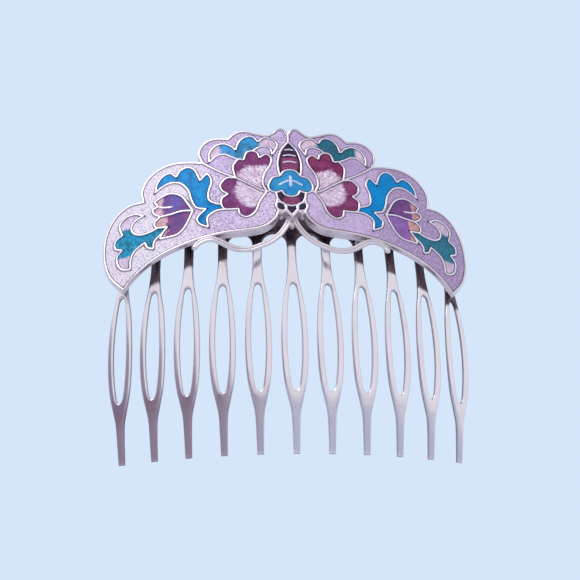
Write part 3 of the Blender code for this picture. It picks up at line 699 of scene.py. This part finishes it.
class Plated(Finish):
    """Plated metal: faint tarnish, long rubbed streaks and shallow dents."""

    def __init__(self, name, colour, roughness, blotch, dent, dent_size):
        super().__init__(name, colour, 1.0, roughness)
        cloud = self.noise(6.0, 3.0)
        streaks = self.noise(0.8, stretch=14.0)
        self.colour = self.mix(self.spread(cloud, 0.45, 0.75), colour, tinted(colour, blotch))
        self.rough = self.spread(streaks, 0.3, 0.7, roughness * 0.85, roughness * 1.2)
        self.bump(self.noise(dent_size, 2.0, 0.45), 1.0, dent)

    def burn(self):
        """Darker on the sheet's cut side; painted shade above the shade line, standing in for the
        butterfly's shadow and the dark tray back that the teeth reflect; and rosier low on the left
        tips, a painted reflection of the dim low front."""
        cut = self.spread(self.attribute("side"), 0.0, 0.14, 0.0, 0.75)
        self.colour = self.mix(cut, self.colour, SHADE_AND_CUT_COLOUR)
        # Painted shade above the shade line, with a ragged edge and a little more roughness.
        ragged = self.math("SUBTRACT", self.noise(2.5), 0.5)
        above = self.math("ADD", self.attribute("burn"), ragged)
        shaded = self.spread(above, -0.55, 0.45)
        self.colour = self.mix(shaded, self.colour, SHADE_AND_CUT_COLOUR)
        self.rough = self.math("ADD", self.rough, self.math("MULTIPLY", shaded, 0.12))
        # Painted reflection: rosier low on the left tips.
        worn = self.math("MULTIPLY", self.attribute("worn"), 0.58)
        self.colour = self.mix(worn, self.colour, TIP_REFLECTION_COLOUR)

    def dull(self):
        """Less shine down the kept "side"."""
        side = self.spread(self.attribute("side"), 0.0, 0.4)
        self.rough = self.math("ADD", self.rough, self.math("MULTIPLY", side, 0.25))
        shine = self.math("SUBTRACT", 1.0, self.math("MULTIPLY", side, 0.6))
        self.set(self.shader, Metallic=shine)

    def done(self):
        self.set(self.shader, **{"Base Color": self.colour, "Roughness": self.rough})
        return self.material


class Enamel(Finish):
    """Clear enamel over a chased foil, built up from a base colour."""

    def __init__(self, name, base, shine=0.14):
        super().__init__(name, base, 0.0, 0.4, **{"Specular IOR Level": 0.06, "Coat Weight": shine,
                                                  "Coat Roughness": 0.06, "Coat IOR": 1.45})
        self.base = base
        self.colour = base
        self.relief = self.noise(0.45, 2.0, 0.55, distortion=0.6)

    def clouds(self, other, size=3.0, low=0.42, high=0.62):
        """Another colour drifts in, in patches."""
        patches = self.noise(size, 3.0, 0.6, distortion=0.4)
        self.colour = self.mix(self.spread(patches, low, high), self.colour, other)

    def strokes(self, light, dark, strength, size=0.5, stretch=4.0, lean=0.0):
        """Brush strokes of a lighter and a darker shade."""
        stroke = self.noise(size, 3.0, 0.6, stretch=stretch, lean=lean, distortion=0.5)
        self.colour = self.mix(self.spread(stroke, 0.52, 0.66, 0.0, strength), self.colour, light)
        self.colour = self.mix(self.spread(stroke, 0.46, 0.34, 0.0, strength), self.colour, dark)

    def stipple(self, dark, light, pits, glints, size=0.36, lean=0.7):
        """Short punched strokes, leaning one way: painted shade in their hollows, and painted
        glints between them.
        """
        place = self.add("ShaderNodeMapping", {"vector_type": "TEXTURE"}, Vector=self.place,
                         Rotation=(0, lean, 0), Scale=(1, 1, 1.7)).outputs[0]
        cells = self.add("ShaderNodeTexVoronoi", Vector=place, Scale=1 / (size * MM),
                         Randomness=0.85)
        apart, chance = cells.outputs["Distance"], cells.outputs["Color"]
        # Painted shade in the punched hollows.
        deep = self.math("MULTIPLY", self.spread(chance, 0.25, 0.6, 0.3, 1.0), pits)
        pit = self.math("MULTIPLY", self.spread(apart, 0.42, 0.2), deep)
        # Painted glints between the hollows.
        glint = self.math("MULTIPLY", self.spread(apart, 0.5, 0.66), glints)
        self.colour = self.mix(pit, self.colour, dark)
        self.colour = self.mix(glint, self.colour, light)
        self.relief = apart

    def share(self, low, high, feather, size=1.6):
        """How far the second colour has taken over, by the kept number "tint"."""
        ragged = self.math("SUBTRACT", self.noise(size, 3.0, 0.6), 0.5)
        tint = self.math("ADD", self.attribute("tint"), self.math("MULTIPLY", ragged, feather))
        return self.spread(tint, low, high)

    def done(self):
        """A dark line of shadow along the wires, and the foil's relief under the gloss."""
        line = self.spread(self.attribute("edge"), EDGE_LINE, EDGE_LINE * 0.5, 0.0, 0.85)
        self.colour = self.mix(line, self.colour, tinted(self.base, 0.18))
        self.set(self.shader, **{"Base Color": self.colour})
        self.bump(self.relief, 0.4, 0.05)
        return self.material


def plain_enamel(name, base, cloud, shine=0.14):
    finish = Enamel(name, base, shine)
    finish.clouds(cloud)
    # Faint painted shade in the foil's hollows, and painted glints.
    finish.stipple(tinted(base, 0.6), tinted(base, 1.5, 0.02), 0.25, 0.15)
    return finish.done()


def ground_enamel(name, base, dark, light, pits, glints, outer=None):
    """Lilac over a foil punched all over with small dots; outer is its colour near the tip: a
    painted glare on the left wing, painted shade on the right.
    """
    finish = Enamel(name, base)
    finish.clouds(tinted(base, 0.86), 7.0)
    if outer:
        finish.colour = finish.mix(finish.share(-5.0, 5.0, 12.0, 6.0), finish.colour, outer)
    finish.stipple(dark, light, pits, glints)
    return finish.done()


def leaf_enamel(name, base, cloud, light, strength, lean, tip=None, feather=1.0, shine=0.14):
    """Brushed blue or teal, fading to pale tips."""
    finish = Enamel(name, base, shine)
    finish.clouds(cloud, 3.5)
    finish.strokes(light, tinted(base, 0.55), strength, 0.42, 6.0, lean)
    if tip:
        bristles = finish.noise(0.5, 3.0, 0.6, stretch=5.0)
        pale = finish.mix(finish.spread(bristles, 0.42, 0.6), tip, tinted(tip, 0.72))
        finish.colour = finish.mix(finish.share(-0.3, 0.5, feather), finish.colour, pale)
    return finish.done()


def bud_enamel(name, base, cloud, tip, feather):
    """Purple that turns to brushed peach at the tips."""
    finish = Enamel(name, base)
    finish.clouds(cloud, 2.6)
    bristles = finish.noise(0.6, 3.0, 0.6, stretch=4.0, lean=1.2)
    brushed = finish.mix(finish.spread(bristles, 0.4, 0.62), tip, tinted(tip, 0.66))
    finish.colour = finish.mix(finish.share(-0.15, 0.25, feather), finish.colour, brushed)
    return finish.done()


def petal_enamel(name, base, heart):
    """Maroon lobes round a pale heart of foil with painted glints and fine veins, all fanning out
    from the petal's root by the kept number "ray"."""
    finish = Enamel(name, base)
    ray, tint = finish.attribute("ray"), finish.attribute("tint")

    def fan(turns, along):
        """Noise in narrow streaks that run out from the root."""
        place = finish.add("ShaderNodeCombineXYZ", X=finish.math("MULTIPLY", ray, turns * MM),
                           Y=finish.math("MULTIPLY", tint, along * MM)).outputs[0]
        return finish.noise(1.0, 3.0, 0.6, vector=place)

    finish.clouds(tinted(base, 1.35, 0.01), 2.5)
    streaks = fan(16.0, 0.35)
    finish.colour = finish.mix(finish.spread(streaks, 0.55, 0.75, 0.0, 0.5), finish.colour,
                               tinted(base, 1.8, 0.02))
    cells = finish.add("ShaderNodeTexVoronoi", Vector=finish.place,
                       Scale=1 / (0.42 * MM)).outputs["Color"]
    pale = finish.mix(finish.spread(cells, 0.4, 0.68), tinted(heart, 0.72), heart)
    # Painted glints of the foil.
    pale = finish.mix(finish.spread(cells, 0.66, 0.72), pale, PAINTED_GLINT)
    pale = finish.mix(finish.spread(finish.noise(2.4, 2.0, 0.5), 0.4, 0.6, 0.0, 0.55), pale,
                      tinted(heart, 0.8))
    vein = finish.math("ABSOLUTE", finish.math("SUBTRACT", fan(6.0, 0.16), 0.5))
    pale = finish.mix(finish.spread(vein, 0.026, 0.008, 0.0, 0.75), pale, tinted(base, 1.6, 0.1))
    ragged = finish.math("MULTIPLY", finish.math("SUBTRACT", fan(20.0, 0.6), 0.5), 3.0)
    share = finish.spread(finish.math("ADD", tint, ragged), -0.35, 0.45)
    finish.colour = finish.mix(share, finish.colour, pale)
    return finish.done()


def banded_enamel(name, base, band):
    """Nearly black enamel with a band of maroon."""
    finish = Enamel(name, base, 0.4)
    finish.clouds(tinted(base, 1.5, 0.002), 2.0)
    patches = finish.spread(finish.noise(0.8, 3.0, 0.6), 0.4, 0.6)
    glow = finish.mix(patches, band, tinted(band, 0.6))
    finish.colour = finish.mix(finish.share(-0.2, 0.5, 0.5), finish.colour, glow)
    return finish.done()


# ---- pieces ------------------------------------------------------------------------------------

def dress(piece, material, slot, *nodes):
    """The piece takes its finish, rides with the comb and stands for these CAD nodes."""
    piece.data.materials.clear()
    piece.data.materials.append(material)
    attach(piece, "root")
    if nodes:
        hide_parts(*nodes)
    return piece


def rounded_edge(depth, thickness, steps=6):
    """A sheet's edge profile: quarter rounds of the given depth at front and back."""
    half = thickness / 2
    front = [(depth * (1 - math.sin(a)), half - depth * (1 - math.cos(a)))
             for a in [math.pi / 2 * i / steps for i in range(steps + 1)]]
    return front + [(inset, -height) for inset, height in reversed(front)]


def tooth_side(middle):
    """A tooth's outline from its left arch foot round its tip to its right one."""
    side = [Vector((width, up)) for up, width in TOOTH_PROFILE]
    right = smooth([(PITCH / 2 - ARCH_RADIUS, ARCH_TOP - ARCH_RADIUS)] + side, TOOTH_SPACING)[0]
    left = [flip(p) for p in right]
    return [Vector((middle + p.x, p.y)) for p in left + right[::-1]]


def slot_loop(middle):
    half = smooth([(width, up) for up, width in SLOT_PROFILE], SLOT_SPACING)[0]
    other_half = [flip(p) for p in half[-2:0:-1]]
    return [Vector((middle + p.x, p.y)) for p in half + other_half]


def comb_numbers(flat):
    """Height above the line where the painted shade starts, on the front only, nearness to the
    sheet's cut side, and how much painted rosy reflection there is: at the tips, more to the left."""
    across, up, height = flat.T
    lines = [np.interp(np.abs(across), *zip(*SHADE_LINE[side])) for side in (-1, 1)]
    above = up - np.where(across < 0, lines[0], lines[1])
    # Painted reflection, strongest at the left tips.
    worn = np.clip((TIP_REFLECTION_FROM - up) / TIP_REFLECTION_WITHIN, 0, 1) * np.clip(-across / TIP_REFLECTION_ACROSS, 0, 1)
    return {"burn": np.where(height < BACK_BEHIND, NEVER_SHADED, above),
            "side": CUT_SIDE - np.abs(height), "worn": worn}


def make_comb(metal):
    half_span = (TOOTH_COUNT - 1) / 2 * PITCH
    foot = PITCH / 2 - ARCH_RADIUS
    middles = [tooth * PITCH - half_span for tooth in range(TOOTH_COUNT)]
    outline = [Vector((-half_span - foot, SPINE_TOP))]
    for tooth, middle in enumerate(middles):
        outline += tooth_side(middle)
        if tooth < TOOTH_COUNT - 1:
            arch = [math.pi * (1 - step / ARCH_STEPS) for step in range(1, ARCH_STEPS)]
            outline += [Vector((middle + PITCH / 2 + ARCH_RADIUS * math.cos(a),
                                ARCH_TOP + ARCH_RADIUS * (math.sin(a) - 1))) for a in arch]
    outline += [Vector((half_span + foot, SPINE_TOP))]
    loops = [outline] + [slot_loop(middle) for middle in middles]
    shape = turned_edge(loops, rounded_edge(COMB_ROUNDING, COMB_SHEET), COMB_GRID)
    piece = solid("comb_sheet", *shape, on_comb, comb_numbers, sharp=50)
    teeth = [f"tooth_{tooth + 1:02d}" for tooth in range(TOOTH_COUNT)]
    dress(piece, metal, "comb_metal", "comb_spine", *teeth)


def make_tray(metal):
    outline = [a for a, b, _ in both_halves(edges_of(RIM, 0, 0)) if (b - a).length > NO_LENGTH]

    def values(flat):
        """How far behind the floor, on the skirt only."""
        on_skirt = distance_to(flat[:, :2], [closed(outline)]) < SHEET / 2
        return {"side": np.where(on_skirt, -flat[:, 2], 0.0)}
    shape = turned_edge([outline], TRAY_PROFILE, TRAY_GRID)
    dress(solid("butterfly_tray", *shape, on_wing, values, sharp=50), metal, "tray_metal", "tray")


def wire_section(width, top):
    """Half-round strip: flat sides, a rounded crown."""
    crown = [math.pi * i / CROWN_STEPS for i in range(CROWN_STEPS + 1)]
    rise = width * WIRE_CROWN
    arc = [(-width / 2 * math.cos(a), top - rise + rise * math.sin(a)) for a in crown]
    return [(-width / 2, WIRE_FOOT)] + arc + [(width / 2, WIRE_FOOT)]


def tapered(path, reach, end_width=0.3):
    """Width factors that round off both ends of a strip."""
    lengths = [0.0]
    for a, b in zip(path, path[1:]):
        lengths.append(lengths[-1] + (b - a).length)
    factors = []
    for length in lengths:
        end = min(length, lengths[-1] - length) / reach
        rounding = math.sqrt(1 - (1 - min(1, max(0, end))) ** 2)
        factors.append(end_width + (1 - end_width) * rounding)
    return factors


def make_wires(metal):
    section = wire_section(WIRE, WIRE_TOP)
    bud = [name for name in RUNS if name.startswith(("bud_", "tail_"))]
    body = [name for name in RUNS if not name.startswith(("rim_", "bar", "bud_", "tail_"))]
    stripes = [smooth([(-half, up - STRIPE_SAG), (0, up), (half, up - STRIPE_SAG)],
                      STRIPE_SPACING)[0] for half, up in STRIPES]
    middle = [swept(smooth(RUNS["bar"])[0], section)]
    middle += [swept(path, section, tapered(path, STRIPE_TAPER)) for path in stripes]
    for name, node, runs, extra, single in (
            ("cell_wires", "wires", body, closed(eye_loop(0)), middle),
            ("bud_wires", "bud_wires", bud, smooth(BUD_SLIT)[0], [])):
        halves = [swept(smooth(RUNS[run])[0], section) for run in runs]
        half = joined(*halves, swept(extra, section, tapered(extra, SLIT_TAPER)))
        piece = solid(name, *joined(half, mirrored(*half), *single), on_wing, sharp=45)
        dress(piece, metal, "wire_metal", node + "_left", node + "_right")


def make_strokes():
    """Pale strokes of thick enamel on the flower at the butterfly's neck."""
    material = plain_enamel("flower_strokes", srgb(216, 232, 250), srgb(186, 206, 240))
    upright = smooth(FLOWER_UPRIGHT, STROKE_SPACING)[0]
    slanted = smooth(FLOWER_SLANTED, STROKE_SPACING)[0]
    middle = swept(upright, wire_section(UPRIGHT_WIDTH, STROKE_TOP),
                   tapered(upright, UPRIGHT_TAPER))
    side = swept(slanted, wire_section(SLANTED_WIDTH, STROKE_TOP),
                 tapered(slanted, SLANTED_TAPER))
    shape = joined(middle, side, mirrored(*side))
    piece = solid("flower_strokes", *shape, on_wing, lambda flat: {"edge": np.ones(len(flat))})
    dress(piece, material, "enamel_sky")


def motif_loop(name, inset):
    return moved_in(edges_of(MOTIFS[name], inset, inset))


def petal_numbers(places, side):
    """Millimetres inside the petal's pale heart, and the angle of the ray from its root."""
    out = places - np.array(PETAL_BASE)
    ray = np.arctan2(out[:, 1], out[:, 0])
    radius = np.interp(ray, np.radians(PETAL_ANGLES), PETAL_HEART[side])
    return {"tint": radius - np.hypot(out[:, 0], out[:, 1]), "ray": ray}


def tint_by(rule):
    """The kept number "tint" from a rule of (across, up)."""
    return lambda places, side: {"tint": rule(places[:, 0], places[:, 1])}


# What a cell's finish needs to know about each flat place, from (places, side).
NUMBERS = {
    # How far out towards the lower wing's tip, where the painted glare on the left and the painted
    # shade on the right take over.
    "lower_wing": tint_by(lambda across, up: across - 21.0),
    "upper_leaf": tint_by(lambda across, up: np.maximum(across - 15.8, 6.8 - across)),
    "upper_petal": petal_numbers,
    "lower_petal": petal_numbers,
    "bud_upper": tint_by(lambda across, up: across - 28.3),
    "bud_lower": tint_by(lambda across, up: across - 27.0),
    "tail_leaf": tint_by(lambda across, up: np.maximum(np.minimum(across - 33.5, up - 5.6),
                                                       -2.0 - up)),
    "abdomen": tint_by(lambda across, up: np.minimum(20.9 - up, 2.0 - np.abs(across))),
    "thorax": tint_by(lambda across, up: 2.35 - np.abs(across) - 0.5 * (up - 7.2)),
}

# The left wing's enamels have light painted in: a paler ground with stronger painted glints, and a
# painted white glare towards the lower wing's tip.
LEFT_ENAMELS = {
    "upper_wing": partial(
        ground_enamel, base=srgb(208, 186, 226), dark=srgb(142, 106, 170),
        light=srgb(246, 240, 252), pits=0.5, glints=0.4),
    "lower_wing": partial(
        ground_enamel, base=srgb(216, 196, 230), dark=srgb(128, 98, 158),
        light=srgb(252, 250, 254), pits=0.75, glints=0.5, outer=srgb(232, 222, 234)),
    "upper_leaf": partial(
        leaf_enamel, base=srgb(58, 162, 230), cloud=srgb(46, 124, 156), light=srgb(116, 194, 232),
        strength=0.4, lean=0.6, tip=srgb(236, 210, 232), feather=1.6),
    "upper_petal": partial(petal_enamel, base=srgb(122, 54, 110), heart=srgb(250, 228, 248)),
    "lower_petal": partial(petal_enamel, base=srgb(118, 54, 110), heart=srgb(252, 232, 252)),
    "blue_leaf": partial(
        leaf_enamel, base=srgb(0, 144, 212), cloud=srgb(0, 120, 190), light=srgb(14, 184, 240),
        strength=0.6, lean=-0.5, shine=0.05),
    "bud_upper": partial(
        bud_enamel, base=srgb(112, 62, 136), cloud=srgb(92, 92, 180), tip=srgb(234, 194, 212),
        feather=2.6),
    "bud_lower": partial(
        bud_enamel, base=srgb(104, 62, 132), cloud=srgb(132, 70, 134), tip=srgb(232, 184, 190),
        feather=3.4),
    "tail_leaf": partial(
        leaf_enamel, base=srgb(6, 144, 190), cloud=srgb(6, 104, 124), light=srgb(80, 210, 230),
        strength=0.6, lean=-0.7, tip=srgb(234, 214, 238), feather=0.9),
}

# The right wing's have a ground painted duller and darker, as in shade, and darker still towards
# the lower wing's tip; greener leaves and sharper borders.
RIGHT_ENAMELS = {
    "upper_wing": partial(
        ground_enamel, base=srgb(197, 173, 214), dark=srgb(150, 116, 168),
        light=srgb(228, 212, 238), pits=0.35, glints=0.2),
    "lower_wing": partial(
        ground_enamel, base=srgb(214, 192, 228), dark=srgb(150, 114, 170),
        light=srgb(242, 230, 248), pits=0.45, glints=0.3, outer=srgb(170, 146, 186)),
    "upper_leaf": partial(
        leaf_enamel, base=srgb(34, 112, 130), cloud=srgb(46, 98, 122), light=srgb(80, 156, 170),
        strength=0.3, lean=0.6, tip=srgb(236, 210, 228), feather=1.0),
    "upper_petal": partial(petal_enamel, base=srgb(122, 46, 88), heart=srgb(250, 230, 248)),
    "lower_petal": partial(petal_enamel, base=srgb(122, 52, 96), heart=srgb(250, 228, 248)),
    "blue_leaf": partial(
        leaf_enamel, base=srgb(0, 138, 204), cloud=srgb(0, 148, 214), light=srgb(14, 164, 222),
        strength=0.35, lean=0.5, shine=0.05),
    "bud_upper": partial(
        bud_enamel, base=srgb(124, 78, 142), cloud=srgb(100, 62, 122), tip=srgb(220, 166, 162),
        feather=0.5),
    "bud_lower": partial(
        bud_enamel, base=srgb(142, 98, 170), cloud=srgb(160, 116, 184), tip=srgb(224, 170, 160),
        feather=0.5),
    "tail_leaf": partial(
        leaf_enamel, base=srgb(40, 108, 136), cloud=srgb(34, 126, 146), light=srgb(84, 162, 178),
        strength=0.3, lean=0.7, tip=srgb(226, 206, 226), feather=0.6),
}


def make_cell(name, node, outline, holes, material, side):
    """The enamel inside the outline and round the holes, climbing the wires at its edges."""
    chains = [closed(loop) for loop in [outline] + holes]
    places, triangles = region(outline, holes, ENAMEL_GRID)
    edge = distance_to(places, chains)
    top = ENAMEL_TOP + MENISCUS * np.exp(-edge / MENISCUS_REACH)
    shape = slab(places, triangles, top, ENAMEL_FOOT)
    if side < 0:
        shape = mirrored(*shape)

    def values(flat):
        here = np.stack([flat[:, 0] * side, flat[:, 1]], axis=1)
        more = NUMBERS[name](here, side) if name in NUMBERS else {}
        return {"edge": distance_to(here, chains), **more}
    dress(solid(node + "_enamel", *shape, on_wing, values), material, SLOTS[name], node)


def field_loops(name):
    """A wing's lilac ground: its outline, and the cells that lie in it as holes."""
    outline = moved_in(edges_of(FIELDS[name], ENAMEL_INSET, RIM_WALL))
    holes = [motif_loop(motif, -ENAMEL_INSET) for motif in FIELD_MOTIFS[name]]
    if name == "lower_wing":
        holes.append(eye_loop(-ENAMEL_INSET))
    return outline, holes


def make_enamel():
    for side, label, makers in ((-1, "_left", LEFT_ENAMELS), (1, "_right", RIGHT_ENAMELS)):
        for name, make in makers.items():
            node = name + label
            if name in FIELDS:
                outline, holes = field_loops(name)
            else:
                outline, holes = motif_loop(name, ENAMEL_INSET), []
            make_cell(name, node, outline, holes, make(node), side)


def make_body():
    dark, maroon = srgb(48, 28, 62), srgb(158, 74, 124)
    materials = {
        "abdomen": banded_enamel("abdomen", dark, maroon),
        "thorax": banded_enamel("thorax", dark, maroon),
        "head": plain_enamel("head", srgb(40, 24, 60), srgb(60, 30, 70), 0.4),
        "head_flower": plain_enamel("head_flower", srgb(56, 156, 206), srgb(34, 138, 198)),
    }
    for name, material in materials.items():
        loop = both_halves(edges_of(BODY[name], ENAMEL_INSET, ENAMEL_INSET))
        make_cell(name, name, moved_in(loop), [], material, 1)
    eyes = plain_enamel("eyes", srgb(30, 24, 54), srgb(50, 36, 80), 0.7)
    for side, node in ((-1, "eye_left"), (1, "eye_right")):
        make_cell("eye", node, eye_loop(ENAMEL_INSET), [], eyes, side)
    make_strokes()


def arm_section():
    """Two round strands side by side, melted into one."""
    meet = math.acos(STRAND_APART / STRAND_RADIUS)
    section = []
    for side in (1, -1):
        for step in range(STRAND_STEPS):
            angle = (math.pi - meet) * (2 * step / STRAND_STEPS - 1)
            section.append((side * (STRAND_APART + STRAND_RADIUS * math.cos(angle)),
                            side * STRAND_RADIUS * math.sin(angle)))
    return section


def behind_wing(p):
    """From flat (across, up, height above the floor) to its place, skirt or no skirt."""
    return Vector((p[0], wing_front(p[0], p[1]) - p[2], p[1]))


def taken(create, **settings):
    """The points and faces of one of bmesh's ready shapes. Sorting gives the faces the same order
    on every run, which bmesh does not."""
    work = bmesh.new()
    create(work, **settings)
    points = [vert.co.copy() for vert in work.verts]
    faces = sorted(tuple(vert.index for vert in face.verts) for face in work.faces)
    work.free()
    return points, faces


def make_arms(metal):
    """Scroll arms of doubled wire, ending in a knob."""
    chords = smooth(ARM, ARM_SPACING)[0]
    section = arm_section()
    flat = swept([Vector(p[:2]) for p in chords], section, tapered(chords, ARM_TAPER))
    points = [(x, y, height - chords[i // len(section)].z)
              for i, (x, y, height) in enumerate(flat[0])]
    ball, ball_faces = taken(bmesh.ops.create_uvsphere, u_segments=24, v_segments=14,
                             radius=KNOB_RADIUS)
    end = chords[-1]
    knob = [(end.x + p.x, end.y + p.y, p.z * KNOB_FLATNESS - end.z) for p in ball]
    shape = joined((points, flat[1]), (knob, ball_faces))
    for side, name in ((1, "arm_right"), (-1, "arm_left")):
        half = shape if side > 0 else mirrored(*shape)
        piece = solid(name + "_scroll", *half, behind_wing, sharp=60)
        dress(piece, metal, "arm_metal", name)


def make_lump(name, metal, centre, radii, seed):
    """A small uneven blob of solder; the centre is (across, up, behind the floor)."""
    ball, faces = taken(bmesh.ops.create_icosphere, subdivisions=3, radius=1.0)
    across, up, behind = centre
    points = []
    for place in ball:
        uneven = 1 + LUMP_UNEVENNESS * noise.noise(place * 1.6 + Vector((seed, 0, 0)))
        points.append([middle + radius * uneven * out for middle, radius, out
                       in zip((across, up, -behind), radii, place)])
    piece = solid(name, points, faces, behind_wing, sharp=60)
    dress(piece, metal, "solder")


def make_joints(metal):
    """Solder that shows: between the arms, beside the eyes, and where the arms meet the skirt."""
    make_lump("arm_crotch_solder", metal, *ARM_CROTCH)
    for side, label in ((1, "_right"), (-1, "_left")):
        for name, ((across, up, behind), radii, seed) in SIDE_LUMPS.items():
            make_lump(name + label, metal, (side * across, up, behind), radii, seed + side)


def solder_pad():
    """A spool of solder of unit height, wider where it wets the metal at both ends."""
    sides, rings = PAD_SIDES, PAD_RINGS
    points, faces = [], []
    for row in range(rings):
        share = row / (rings - 1)
        flare = PAD_WAIST + PAD_FLARE * (2 * share - 1) ** 2
        for i in range(sides):
            angle = math.tau * i / sides
            round_it = Vector((math.cos(angle), math.sin(angle), share))
            radius = flare * (1 + PAD_UNEVENNESS * noise.noise(round_it * 1.5))
            points.append((radius * round_it.x, radius * round_it.y, share))
    for row in range(rings - 1):
        for i in range(sides):
            j = (i + 1) % sides
            faces.append((row * sides + i, row * sides + j, (row + 1) * sides + j,
                          (row + 1) * sides + i))
    faces.append(tuple(range(sides - 1, -1, -1)))
    faces.append(tuple(range((rings - 1) * sides, rings * sides)))
    return points, faces


def make_solder(metal):
    """Solder between the tray and the comb, behind the butterfly."""
    points, faces = solder_pad()
    for name, (across, up, behind) in SOLDER_POINTS.items():
        lean = math.asin(across / COMB_RADIUS)
        front = on_wing((across, up, -behind)).y
        back = on_comb((COMB_RADIUS * lean, up, COMB_SHEET / 2)).y
        for side, label in ((1, "_right"), (-1, "_left")):
            def between(p, side=side):
                depth = front + (back - front) * p[2] + p[0] * math.tan(lean) * PAD_TILT
                return Vector((side * (across + p[0]), depth, up + p[1]))
            piece = solid(name + label + "_lump", points, faces, between, sharp=60)
            dress(piece, metal, "solder", name + label)


# ---- studio ------------------------------------------------------------------------------------

# The photo's camera, in metres.
CAMERA_TARGET = Vector((-0.00064, 0.0, -0.01218))
CAMERA_DISTANCE = 0.1657
CAMERA_AZIMUTH = math.radians(-5.78)
CAMERA_ELEVATION = math.radians(-28.57)
CAMERA_ROLL = math.radians(-2.13)
CAMERA_LENS = 48.5
# The key light, the floor, and the world's colours by direction.
KEY_AZIMUTH = math.radians(-62)
KEY_ELEVATION = math.radians(58)
KEY_DISTANCE = 0.6
KEY_SIZE = 0.4
KEY_POWER = 1.9
KEY_COLOUR = (1.0, 0.98, 0.97)
FLOOR_SIZE = 60.0
FLOOR_UP = -0.3
BEHIND = srgb(214, 230, 250)
FRONT_LOW = srgb(160, 144, 166)
FRONT_HIGH = srgb(250, 247, 252)
CEILING = srgb(120, 108, 126)
DIM_SLANT = (0.5, 0.0, 1.0)          # the front is dim below the plane square to this


def direction(azimuth, elevation):
    """The unit vector from the comb towards this azimuth and elevation; azimuth 0 is -Y."""
    return Vector((math.sin(azimuth) * math.cos(elevation),
                   -math.cos(azimuth) * math.cos(elevation), math.sin(elevation)))


def make_camera():
    back = direction(CAMERA_AZIMUTH, CAMERA_ELEVATION)
    right = (-back).cross(Vector((0, 0, 1))).normalized()
    up = right.cross(-back)
    tilted_right = right * math.cos(CAMERA_ROLL) + up * math.sin(CAMERA_ROLL)
    tilted_up = up * math.cos(CAMERA_ROLL) - right * math.sin(CAMERA_ROLL)
    camera = bpy.data.objects.new("camera", bpy.data.cameras.new("camera"))
    bpy.context.scene.collection.objects.link(camera)
    turn = Matrix((tilted_right, tilted_up, back)).transposed().to_4x4()
    camera.matrix_world = Matrix.Translation(CAMERA_TARGET + back * CAMERA_DISTANCE) @ turn
    camera.data.sensor_width = 36.0
    camera.data.lens = CAMERA_LENS
    camera.data.clip_start = 0.01
    bpy.context.scene.camera = camera


def make_key_light():
    """One soft square light, high on the left, that faces the comb."""
    light = bpy.data.lights.new("key", "AREA")
    light.shape = "RECTANGLE"
    light.size = light.size_y = KEY_SIZE
    light.energy = KEY_POWER
    light.color = KEY_COLOUR
    lamp = bpy.data.objects.new("key", light)
    bpy.context.scene.collection.objects.link(lamp)
    away = direction(KEY_AZIMUTH, KEY_ELEVATION)
    lamp.location = away * KEY_DISTANCE
    lamp.rotation_mode = "QUATERNION"
    lamp.rotation_quaternion = away.to_track_quat("Z", "Y")


def make_floor():
    """A plain pale floor, well below the comb."""
    bpy.ops.mesh.primitive_plane_add(size=FLOOR_SIZE, location=(0, 0, FLOOR_UP))
    floor = bpy.context.object
    floor.name = "floor"
    finish = Finish("floor", srgb(226, 223, 235), 0.0, 0.8)
    finish.bump(finish.noise(40, 2.0), 0.2, 1.0)
    floor.data.materials.append(finish.material)


def make_world():
    """Pale blue behind the comb, white in front, dimmer overhead and low down, more so on the
    left. The comb reflects all of it, and the backdrop itself is plain."""
    world = bpy.data.worlds.new("studio")
    bpy.context.scene.world = world
    world.use_nodes = True
    nodes = Nodes(world.node_tree)
    where = nodes.add("ShaderNodeTexCoord").outputs["Generated"]
    split = nodes.add("ShaderNodeSeparateXYZ", Vector=where).outputs
    slant = nodes.add("ShaderNodeVectorMath", {"operation": "DOT_PRODUCT"}, Vector=where)
    nodes.put(DIM_SLANT, slant.inputs[1])
    front = nodes.mix(nodes.spread(slant.outputs["Value"], -0.1, 0.0), FRONT_LOW, FRONT_HIGH)
    front = nodes.mix(nodes.spread(split["Z"], 0.72, 0.92), front, CEILING)
    around = nodes.mix(nodes.spread(split["Y"], -0.35, 0.25), front, BEHIND)
    seen = nodes.add("ShaderNodeLightPath").outputs["Is Camera Ray"]
    nodes.set(world.node_tree.nodes["Background"], Color=nodes.mix(seen, around, BEHIND))


def main():
    make_camera()
    make_world()
    make_floor()
    make_key_light()
    bpy.context.scene.view_settings.view_transform = "Standard"
    comb_metal = Plated("comb_metal", srgb(226, 223, 229), 0.17, blotch=0.93, dent=0.01,
                        dent_size=2.6)
    # Painted shade and painted tip reflection on the comb, and its darker cut side.
    comb_metal.burn()
    tray_metal = Plated("tray_metal", srgb(228, 218, 220), 0.26, blotch=0.86, dent=0.03,
                        dent_size=1.4)
    tray_metal.dull()
    wire_metal = Plated("wire_metal", srgb(238, 232, 242), 0.3, blotch=0.95, dent=0.01,
                        dent_size=0.8)
    arm_metal = Plated("arm_metal", srgb(232, 226, 228), 0.26, blotch=0.82, dent=0.03,
                       dent_size=0.9)
    solder = Plated("solder", srgb(196, 194, 200), 0.4, blotch=0.75, dent=0.08,
                    dent_size=0.6).done()
    make_comb(comb_metal.done())
    make_tray(tray_metal.done())
    make_wires(wire_metal.done())
    make_enamel()
    make_body()
    make_arms(arm_metal.done())
    make_joints(solder)
    make_solder(solder)


main()
